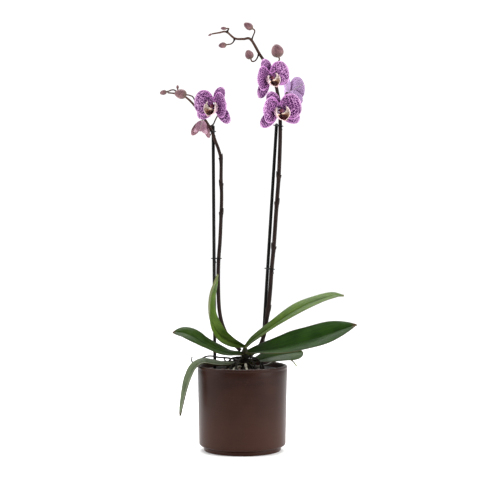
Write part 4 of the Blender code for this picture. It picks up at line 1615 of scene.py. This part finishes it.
@dataclass
class Flower:
    """One flower, built about its own axes: X to its right, Y up and Z out of its face.

    Its sizes are in millimetres before its scale, and its turns in degrees. The leans are how far
    its dorsal, left and right sepals stand out of their even places.
    """

    name: str
    place: Point
    yaw: float
    pitch: float
    roll: float
    scale: float
    openness: Openness
    leans: tuple[float, float, float]
    chance: float
    closed_size: float = 0.33
    thickness: float = 0.9
    hub: tuple[tuple[float, float], ...] = (
        (1.4, -4.2), (2.0, -3.9), (2.7, -2.6), (3.3, -1.4), (3.2, -0.9), (2.2, 0.2), (0.3, 0.3),
    )
    lip: LipForm = LipForm()

    def turn(self) -> np.ndarray:
        """The turn from the flower's own axes to the world's.

        Returns:
            A three by three matrix.
        """
        yaw = Matrix.Rotation(math.radians(self.yaw), 3, "Z")
        pitch = Matrix.Rotation(math.radians(90 - self.pitch), 3, "X")
        roll = Matrix.Rotation(math.radians(-self.roll), 3, "Z")
        return np.array(yaw @ pitch @ roll)

    def growth(self) -> np.ndarray:
        """The direction that the flower faces in."""
        return self.turn()[:, 2]

    def foot(self) -> np.ndarray:
        """Where its stalk meets its back."""
        return np.array(self.place) + self.growth() * self.hub[0][1] * self.scale

    def inner_size(self) -> float:
        """The size of its lip and column, which are small while it is not open."""
        return self.closed_size if self.openness is Openness.CLOSING else 1.0

    def placed(self, points: np.ndarray) -> np.ndarray:
        """Points about the flower's own axes, moved to the world and into metres."""
        return (points * self.scale @ self.turn().T + np.array(self.place)) * MM

    def add_tepal(self, shape: Shape, form: TepalForm, chance: float) -> None:
        """Adds one sepal or petal.

        Args:
            shape: The mesh that it joins.
            form: Its shape.
            chance: The number that sets it apart from the others.
        """
        shares = (1 - np.cos(np.linspace(0, 1, 40) * math.pi)) / 2
        lanes = np.sin(np.linspace(-1, 1, 29) * math.pi / 2)
        surface = self.placed(form.surface(shares, lanes, chance))
        half = 0.5 * self.thickness * self.scale * np.sqrt(1 - lanes**4) * MM
        shape.add_sheet(surface, half, half, shares, lanes, chance)

    def build_sepals(self, material: bpy.types.Material) -> None:
        """Makes the three sepals and the hub that they share behind the petals.

        Args:
            material: Their finish.
        """
        shape = Shape()
        hub = self.placed(lathe_rings(list(self.hub), 32))
        shape.add_rings(hub, np.zeros(len(self.hub)), under=np.ones(32))
        for index, (sepal, lean) in enumerate(zip(OPEN_SEPALS, self.leans)):
            form = replace(sepal, turn=sepal.turn + lean)
            if self.openness is Openness.CLOSING:
                form = replace(form, half_width=12.0, rise=self.openness.value, bend=22)
            self.add_tepal(shape, form, self.chance + 0.11 * index)
        made = shape.build(self.name + "_sepal_ring", material, 70)
        hand_over(made, self.name + "_sepals")

    def build_petals(self, material: bpy.types.Material) -> None:
        """Makes the two broad petals.

        Args:
            material: Their finish.
        """
        right = CLOSING_PETAL if self.openness is Openness.CLOSING else OPEN_PETAL
        left = replace(right, turn=180 - right.turn)
        if self.openness is Openness.OPEN:
            right = replace(right, lift=right.lift + 1.2)
        for part, form in (("left", left), ("right", right)):
            shape = Shape()
            self.add_tepal(shape, form, self.chance + 0.4 + 0.002 * form.turn)
            made = shape.build(f"{self.name}_{part}_petal", material, 70)
            hand_over(made, f"{self.name}_petal_{part}")

    def build_lip(self, material: bpy.types.Material) -> None:
        """Makes the lip, with its callus and its tendrils.

        Args:
            material: Its finish.
        """
        size = self.inner_size()
        share = np.linspace(0, 1, 44)
        lanes = np.sin(np.linspace(1, -1, 41) * math.pi / 2)
        surface = self.placed(self.lip.surface(share, lanes, self.chance) * size)
        half = 0.5 * self.lip.thickness * size * self.scale * np.sqrt(1 - lanes**4) * MM
        shape = Shape()
        shape.add_sheet(surface, half, half, share, lanes, self.chance)
        callus = self.lip.callus_rings()
        shape.add_rings(self.placed(callus * size), np.zeros(len(callus)))
        for side in (-1, 1):
            tendril = self.lip.tendril_rings(side)
            shape.add_rings(self.placed(tendril * size), np.full(len(tendril), 0.95))
        hand_over(shape.build(self.name + "_lip_skin", material, 70), self.name + "_lip")

    def build_column(self, material: bpy.types.Material) -> None:
        """Makes the column, which leans a little down over the lip, with its cap.

        Args:
            material: Its finish.
        """
        size = self.inner_size()
        route = smooth_route([(0, 0, 0.4), (0, 0.2, 3.4), (0, -0.1, 6.4), (0, -0.9, 9)], 12)
        shares = np.linspace(0, 1, len(route))
        radii = np.interp(shares, (0, 0.33, 0.66, 0.86, 1), (2.1, 2.15, 2.8, 2.7, 1.5))
        rings = tube_rings(route, radii, 28)
        shape = Shape()
        shape.add_rings(self.placed(rings * size), shares)
        cap = [(0.2, 1.9), (1.2, 1.6), (1.75, 0.7), (1.6, -0.3), (0.3, -0.9)]
        cap_rings = lathe_rings(cap, 24) + np.array([0, -0.9, 8.2])
        shape.add_rings(self.placed(cap_rings * size), np.ones(len(cap)))
        made = shape.build(self.name + "_column_skin", material)
        hand_over(made, self.name + "_column")


FLOWERS = {
    flower.name: flower
    for flower in (
        Flower("flower_left_front", (-43, -10, 534.5), -40, -8, 8, 1.0, Openness.OPEN,
               (-24, -6, 2), 0.12),
        Flower("flower_left_drooping", (-62.5, 12, 511), -64, -80, 60, 0.74, Openness.CLOSING,
               (0, 0, 0), 0.31),
        Flower("flower_right_lower", (57, -4, 528), 30, -8, -11, 1.03, Openness.OPEN,
               (24, -8, 4), 0.55),
        Flower("flower_right_upper", (42.5, -2, 578.5), 38, -6, -18, 0.95, Openness.OPEN,
               (4, 4, 16), 0.73),
        Flower("flower_right_back", (74.5, 33, 557.5), 122, 4, 12, 0.92, Openness.OPEN,
               (0, 0, 0), 0.94),
    )
}


@dataclass
class Blooms:
    """All flowers and buds, with the finishes that they share."""

    def build(self) -> None:
        """Makes every flower and bud."""
        petal = TepalFinish("petal_skin", 7.0, 7.5).material()
        sepal = TepalFinish("sepal_skin", 3.8, 9.0).material()
        dusky = TepalFinish(
            "dusky_skin", 4.0, 9.0, linear(140, 104, 114), linear(98, 58, 70),
            linear(78, 40, 52), linear(120, 84, 94), linear(134, 98, 110), 0.02, 0.12,
        ).material()
        faded = TepalFinish(
            "faded_skin", 4.0, 9.0, linear(178, 142, 156), linear(132, 86, 102),
            linear(104, 58, 74), linear(158, 118, 132), linear(164, 128, 142), 0.02, 0.12,
        ).material()
        lip, column, bud_skin = LipFinish().material(), ColumnFinish().material(), BudFinish().material()
        for flower in FLOWERS.values():
            closing = flower.openness is Openness.CLOSING
            flower.build_sepals(dusky if closing else sepal)
            flower.build_petals(faded if closing else petal)
            flower.build_lip(lip)
            flower.build_column(column)
        for index, bud in enumerate(BUDS.values()):
            bud.build(bud_skin, 0.13 * index)


# ---------------------------------------------------------------- stakes, spikes and ties


@dataclass
class Stake:
    """A straight stick pushed into the bark, in millimetres, with a rounded top."""

    name: str
    foot: Point
    top: Point
    radius: float = 2.6

    def middles(self, shares: np.ndarray) -> np.ndarray:
        """Its middle at shares of its length."""
        return np.array(self.foot) + np.outer(shares, np.array(self.top) - np.array(self.foot))

    def route(self) -> np.ndarray:
        """Points from its foot to its top, closer together at the top."""
        return self.middles(1 - np.linspace(1, 0, 60) ** 2)

    def middle_at(self, height: float) -> np.ndarray:
        """Its middle at a height."""
        share = (height - self.foot[2]) / (self.top[2] - self.foot[2])
        return self.middles(np.array([share]))[0]

    def build(self, material: bpy.types.Material) -> None:
        """Makes the stake.

        Args:
            material: Its finish.
        """
        route = self.route()
        radii = rounded_ends(np.full(len(route), self.radius), route)
        shape = Shape()
        shape.add_rings(tube_rings(route, radii, 20) * MM)
        hand_over(shape.build(self.name + "_stick", material), self.name)


STAKES = {
    "left": Stake("stake_left", (-42.6, 14, 33), (-46.1, 28, 507)),
    "right": Stake("stake_right", (24.3, 30, 33), (53.6, 30, 510)),
}


@dataclass
class Spike:
    """A flower spike as grown, in millimetres: a stem with bracts at its joints, and its stalks.

    The bracts are the heights of its joints. The stalks are the starts of their routes, each by
    the name of the flower or bud that it holds; a stalk runs in straight and is sunk into it.
    """

    name: str
    points: list[Point]
    foot_radius: float
    tip_radius: float
    bracts: tuple[float, ...]
    stalks: dict[str, list[Point]]
    stalk_radius: float = 1.1
    run_in: float = 3.3
    sunk: float = 0.7
    late_taper: float = 2.5
    joint_swell: float = 0.28
    joint_length: float = 3.0
    bract_length: float = 9.0
    bract_point: float = 3.5

    def route(self) -> np.ndarray:
        """The stem's middle line."""
        return smooth_route(self.points, 14)

    def share_at(self, height: float) -> float:
        """Where the stem first passes a height.

        Args:
            height: The height, in millimetres.

        Returns:
            The share of the stem's length.
        """
        levels = self.route()[:, 2]
        index = int(np.argmax(levels > height))
        part = (height - levels[index - 1]) / (levels[index] - levels[index - 1])
        return (index - 1 + part) / (len(levels) - 1)

    def middle_at(self, height: float) -> np.ndarray:
        """Its middle at a height."""
        return sample(self.route(), np.array([self.share_at(height)]))[0]

    def radius_at(self, shares: np.ndarray) -> np.ndarray:
        """The stem's radius at shares of its length."""
        late = np.asarray(shares) ** self.late_taper
        return self.foot_radius + (self.tip_radius - self.foot_radius) * late

    def add_stem(self, shape: Shape) -> None:
        """Adds the stem, a little thicker at its joints.

        Args:
            shape: The mesh that it joins.
        """
        route = self.route()
        shares = np.linspace(0, 1, len(route))
        radii = self.radius_at(shares)
        for height in self.bracts:
            above = route[:, 2] - height + self.bract_length / 2
            radii = radii + self.joint_swell * np.exp(-((above / self.joint_length) ** 2))
        shape.add_rings(tube_rings(route, rounded_ends(radii, route), 22) * MM, shares)

    def add_bract(self, shape: Shape, height: float, facing: float) -> None:
        """Adds one bract, a dry scale wrapped round the stem that ends in a point.

        Args:
            shape: The mesh that it joins.
            height: The height of its middle.
            facing: The side that its point is on, in degrees.
        """
        bottom, top = height - self.bract_length / 2, height + self.bract_length / 2
        ends = np.array([self.share_at(bottom), self.share_at(top)])
        stations = np.linspace(0, 1, 9)
        middle = sample(self.route(), ends[0] + (ends[1] - ends[0]) * stations)
        radius = float(self.radius_at(ends.mean()))
        swell = radius * (1.04 + 0.30 * np.sin(np.minimum(stations * 1.5, 1) * math.pi / 2))
        rings = tube_rings(middle, swell, 28)
        angles = np.arctan2(rings[4, :, 1] - middle[4, 1], rings[4, :, 0] - middle[4, 0])
        pointed = (0.5 + 0.5 * np.cos(angles - math.radians(facing))) ** 4
        drop = 2.6 * (1 - pointed)
        for index, share in enumerate(stations):
            rings[index, :, 2] += share**2 * (self.bract_point * pointed - drop)
        inner = rings[-1] + (middle[-1] - rings[-1]) * 0.22 - np.array([0, 0, 1.2])
        rings = np.concatenate([rings, inner[None]])
        shape.add_rings(rings * MM, np.full(len(rings), 0.3), chance=0.5)

    def add_stalk(self, shape: Shape, target: str, points: list[Point]) -> None:
        """Adds the stalk of one flower or bud, wider where it leaves the stem.

        Args:
            shape: The mesh that it joins.
            target: The flower or bud.
            points: The start of its route.
        """
        holder = FLOWERS[target] if target in FLOWERS else BUDS[target]
        foot, growth = holder.foot(), holder.growth()
        last = [tuple(foot - growth * self.run_in), tuple(foot + growth * self.sunk)]
        route = smooth_route([*points, *last], 10)
        shares = np.linspace(0, 1, len(route))
        radii = self.stalk_radius * (1 + 0.45 * np.exp(-shares / 0.07) + 0.25 * np.exp(-(1 - shares) / 0.06))
        shape.add_rings(tube_rings(route, radii, 16) * MM, 0.55 + 0.45 * shares)
        start, ahead = route[0], unit(route[4] - route[0])
        scale = start + np.outer(np.array([-1.2, 0.6, 2.4, 4.2, 5.4]), ahead)
        bract = tube_rings(scale, np.array([1.5, 1.9, 1.75, 1.3, 0.9]), 16)
        shape.add_rings(bract * MM, np.full(5, 0.45), chance=0.8)

    def build(self, material: bpy.types.Material) -> None:
        """Makes the stem, its bracts and its stalks.

        Args:
            material: Their finish.
        """
        shape = Shape()
        self.add_stem(shape)
        for index, height in enumerate(self.bracts):
            self.add_bract(shape, height, 180 * index - 20)
        for target, points in self.stalks.items():
            if points:
                self.add_stalk(shape, target, points)
        hand_over(shape.build(self.name + "_stem", material), self.name)


SPIKES = {
    "left": Spike(
        "spike_left",
        [(-3.5, 8.5, 155), (-14, 15.5, 165), (-25.5, 21, 180), (-33, 22, 199), (-36.8, 22, 222),
         (-38, 22, 256), (-37.6, 22, 292), (-35.2, 22, 326), (-33.5, 22, 366), (-32.7, 22, 396),
         (-33.5, 22, 422), (-33.6, 22, 452), (-36.9, 22, 467), (-42.3, 22, 481.5),
         (-47.5, 21, 496), (-55, 21, 509.5), (-65, 21, 523.5), (-75.8, 22, 538),
         (-87, 21.5, 549), (-98, 20, 554.5), (-117.5, 19, 557)],
        3.1, 1.2, (369, 414, 454),
        {
            "flower_left_front": [(-51.5, 21, 503.5), (-45.5, 20, 508), (-42, 17, 515),
                                  (-37, 13, 524), (-34.5, 6, 531.5)],
            "flower_left_drooping": [(-58.5, 20.5, 514.5), (-60, 18, 516.5)],
            "bud_left_large": [(-73.4, 21.5, 535), (-74.5, 15, 544.5), (-77.5, 10, 550)],
            "bud_left_small": [(-103.5, 19.5, 555.3), (-102.5, 17, 558.5)],
            "bud_left_end": [(-99, 19.8, 554.7), (-105, 17.5, 560.3), (-110, 16, 561)],
        },
    ),
    "right": Spike(
        "spike_right",
        [(11.5, 9, 146), (19, 16.5, 152.5), (28, 22, 161.5), (34.2, 24, 179), (37.4, 24, 198),
         (40.8, 24, 220), (43.8, 24, 252), (45.8, 24, 281.5), (49, 24, 315), (53, 24, 373),
         (56.6, 24, 422), (58, 24, 452), (59, 24, 483), (59.2, 24, 503), (59, 24, 518),
         (58, 24, 533.5), (56, 24, 550.5), (52.4, 24, 568), (46.6, 23, 585), (39, 22, 599),
         (27.2, 21, 616.5), (12.9, 20, 639.8), (1.5, 20, 640.5), (-12, 20, 641.5),
         (-25, 20, 651.5), (-36.4, 20, 650.3), (-48.4, 20, 648.3)],
        3.4, 1.2, (218, 315, 385, 427),
        {
            "flower_right_lower": [(58.3, 23.5, 526), (58.5, 16, 533), (56.5, 10, 535)],
            "flower_right_upper": [(50, 23.5, 575), (46, 16, 582), (42, 10, 584)],
            "flower_right_back": [(58.8, 24.5, 526), (64, 29, 536), (67, 31, 546)],
            "bud_right_large": [(44, 22.5, 590), (49, 19, 597), (54.5, 16, 603)],
            "bud_right_top": [(14, 20, 638), (16.5, 20.5, 645), (18.9, 20.8, 651)],
            "bud_right_middle": [(26, 21, 618), (22, 18.5, 609), (18, 16.5, 605.5)],
            "bud_right_lower": [(-12, 20, 641.5), (-14, 18.5, 636), (-18, 17, 632.5)],
            "bud_right_upper": [(-24.5, 20, 651), (-22.5, 18.5, 654)],
        },
    ),
}


@dataclass
class Tie:
    """A wire tie round a stake and its stem, in millimetres.

    Its two ends are twisted together, or they stand out to each side by the splay.
    """

    name: str
    side: str
    height: float
    tilt: float
    wire: float = 0.8
    twist: float = 7.0
    splay: float = 0.0
    twisted_wire: float = 0.42
    twist_lean: float = 2.2
    splayed_wire: float = 0.75

    def loop(self) -> np.ndarray:
        """The loop's middle line.

        Returns:
            The points of one round, which starts at the stake.
        """
        spike = SPIKES[self.side]
        ends = [STAKES[self.side].middle_at(self.height), spike.middle_at(self.height)]
        span = ends[1] - ends[0]
        along = unit(span)
        beside = np.cross(along, [0.0, 0.0, 1.0])
        corner = spike.foot_radius + self.wire + 0.3
        points = []
        for sign, middle in ((-1, ends[0]), (1, ends[1])):
            for angle in np.linspace(-math.pi / 2, math.pi / 2, 14):
                out = along * math.cos(angle) + beside * math.sin(angle)
                points.append(middle + out * corner * sign)
        centre = (ends[0] + ends[1]) / 2
        lean = np.array(Matrix.Rotation(math.radians(self.tilt), 3, "Y"))
        return centre + (np.array(points) - centre) @ lean.T

    def end_offsets(self, phase: float, side: int) -> np.ndarray:
        """The middle line of one end, from where it leaves the loop.

        Args:
            phase: Where it starts in the twist, in radians.
            side: The sign of the side that it is splayed to.

        Returns:
            Its points.
        """
        share = np.linspace(0, 1, 26)
        angle = share * 12 + phase
        curl = 0.0 if self.splay else self.twisted_wire
        aside = self.splay * side if self.splay else self.twist_lean
        across = aside * share + curl * np.cos(angle)
        return np.stack([across, curl * np.sin(angle) - 0.4 * share, -self.twist * share], axis=1)

    def build(self, material: bpy.types.Material) -> None:
        """Makes the loop and its two ends.

        Args:
            material: Its finish.
        """
        shape = Shape()
        loop = self.loop()
        closed = np.concatenate([loop[-3:], loop, loop[:4]])
        rings = tube_rings(closed, np.full(len(closed), self.wire), 12)[3:-4]
        shape.add_rings(rings * MM, loop=True)
        front = loop[loop[:, 1].argmin()] + np.array([1.0, -0.5, 0.0])
        thick = self.splayed_wire if self.splay else self.twisted_wire
        for phase, side in ((0, -1), (math.pi, 1)):
            end = front + self.end_offsets(phase, side)
            shape.add_rings(tube_rings(end, np.full(len(end), thick), 8) * MM)
        hand_over(shape.build(self.name + "_wire", material), self.name)


@dataclass
class Supports:
    """The two stakes, the two spikes and the ties that hold them together."""

    ties: tuple[Tie, ...] = (
        Tie("tie_left_lower", "left", 298, 0),
        Tie("tie_left_upper", "left", 497, 0, twist=8.5, splay=4.5),
        Tie("tie_right_lower", "right", 281.5, 5),
        Tie("tie_right_upper", "right", 506, 8),
    )

    def build(self) -> None:
        """Makes every stake, spike and tie."""
        paint = StakeFinish().material()
        stem = StemFinish("spike_skin", linear(15, 8, 7), linear(36, 23, 18), linear(78, 55, 46))
        wire = StakeFinish("tie_wire", linear(7, 7, 7)).material()
        spike_skin = stem.material()
        for stake in STAKES.values():
            stake.build(paint)
        for spike in SPIKES.values():
            spike.build(spike_skin)
        for tie in self.ties:
            tie.build(wire)


# ---------------------------------------------------------------- studio


@dataclass(frozen=True)
class SoftBox:
    """One soft light: where it hangs and how wide and tall it is, in metres, and its watts."""

    name: str
    place: Point
    size: tuple[float, float]
    power: float


@dataclass
class Studio:
    """A pale floor, soft lights and the camera, in metres, with the camera's tilt in degrees."""

    eye: Point = (0.0118, -2.2, 0.376)
    tilt: float = 1.6716
    lens: float = 102.06
    floor_size: float = 60.0
    sky: float = 1.1
    card_size: tuple[float, float] = (7.0, 4.4)
    card_place: Point = (0.0, -3.0, 1.4)
    aim: Point = (0.0, 0.0, 0.3)
    boxes: tuple[SoftBox, ...] = (
        SoftBox("left_box", (-1.6, -0.5, 1.0), (1.0, 1.6), 26),
        SoftBox("right_box", (1.6, -0.8, 0.9), (1.2, 1.6), 44),
        SoftBox("top_box", (0.0, 0.9, 1.8), (1.6, 1.2), 50),
    )

    def add_board(self, name: str, corners: list[Point], sheet: NodeSheet) -> bpy.types.Object:
        """Adds one flat board of the studio.

        Args:
            name: Its name.
            corners: Its four corners, in order.
            sheet: Its material's nodes.

        Returns:
            The board.
        """
        mesh = bpy.data.meshes.new(name)
        mesh.from_pydata(corners, [], [(0, 1, 2, 3)])
        mesh.materials.append(sheet.material)
        board = bpy.data.objects.new(name, mesh)
        bpy.context.scene.collection.objects.link(board)
        return board

    def build_floor(self) -> None:
        """Lays the floor."""
        sheet = NodeSheet("floor_paper")
        tone = sheet.mix(sheet.noise(3.0, 2.0), linear(250, 250, 250), linear(255, 255, 255))
        sheet.set(base_color=tone, roughness=0.9)
        half = self.floor_size / 2
        corners = [(-half, -half, 0), (half, -half, 0), (half, half, 0), (-half, half, 0)]
        self.add_board("floor", corners, sheet)

    def build_card(self) -> None:
        """Stands a dark card behind the camera: the sides of the pot shine and its front is deep."""
        sheet = NodeSheet("card_felt")
        tone = sheet.mix(sheet.noise(40.0, 2.0), linear(18, 18, 18), linear(28, 28, 28))
        sheet.set(base_color=tone, roughness=1.0)
        wide, tall = self.card_size[0] / 2, self.card_size[1] / 2
        corners = [(-wide, 0, -tall), (wide, 0, -tall), (wide, 0, tall), (-wide, 0, tall)]
        card = self.add_board("dark_card", corners, sheet)
        card.location = self.card_place
        card.visible_camera = False

    def hang(self, box: SoftBox) -> None:
        """Hangs one soft light, turned to the plant.

        Args:
            box: The light.
        """
        lamp = bpy.data.lights.new(box.name, "AREA")
        lamp.shape = "RECTANGLE"
        lamp.size, lamp.size_y = box.size
        lamp.energy = box.power
        hung = bpy.data.objects.new(box.name, lamp)
        hung.location = box.place
        toward = Vector(self.aim) - Vector(box.place)
        hung.rotation_euler = toward.to_track_quat("-Z", "Y").to_euler()
        bpy.context.scene.collection.objects.link(hung)

    def build_camera(self) -> None:
        """Sets up the camera."""
        lens = bpy.data.cameras.new("camera")
        lens.lens = self.lens
        lens.sensor_width = 36
        lens.clip_end = 200
        camera = bpy.data.objects.new("camera", lens)
        camera.location = self.eye
        camera.rotation_euler = (math.radians(90 - self.tilt), 0, 0)
        bpy.context.scene.collection.objects.link(camera)
        bpy.context.scene.camera = camera

    def build(self) -> None:
        """Sets up the floor, the lights and the camera."""
        self.build_floor()
        self.build_card()
        world = bpy.data.worlds.new("studio")
        world.use_nodes = True
        back = world.node_tree.nodes["Background"]
        back.inputs["Color"].default_value = (1, 1, 1, 1)
        back.inputs["Strength"].default_value = self.sky
        bpy.context.scene.world = world
        for box in self.boxes:
            self.hang(box)
        self.build_camera()
        bpy.context.scene.view_settings.view_transform = "Standard"


def main() -> None:
    """Builds the plant from the pot up and sets the studio round it."""
    logging.basicConfig(level=logging.INFO, format="%(name)s: %(message)s")
    roots = Roots()
    parts = (
        Studio(), CoverPot(), NurseryPot(), BarkFill(roots=[root.route() for root in roots.roots]),
        Crown(), Leaves(), roots, Supports(), Blooms(),
    )
    for part in parts:
        log.info("building the %s", type(part).__name__)
        part.build()


if __name__ == "__main__":
    main()
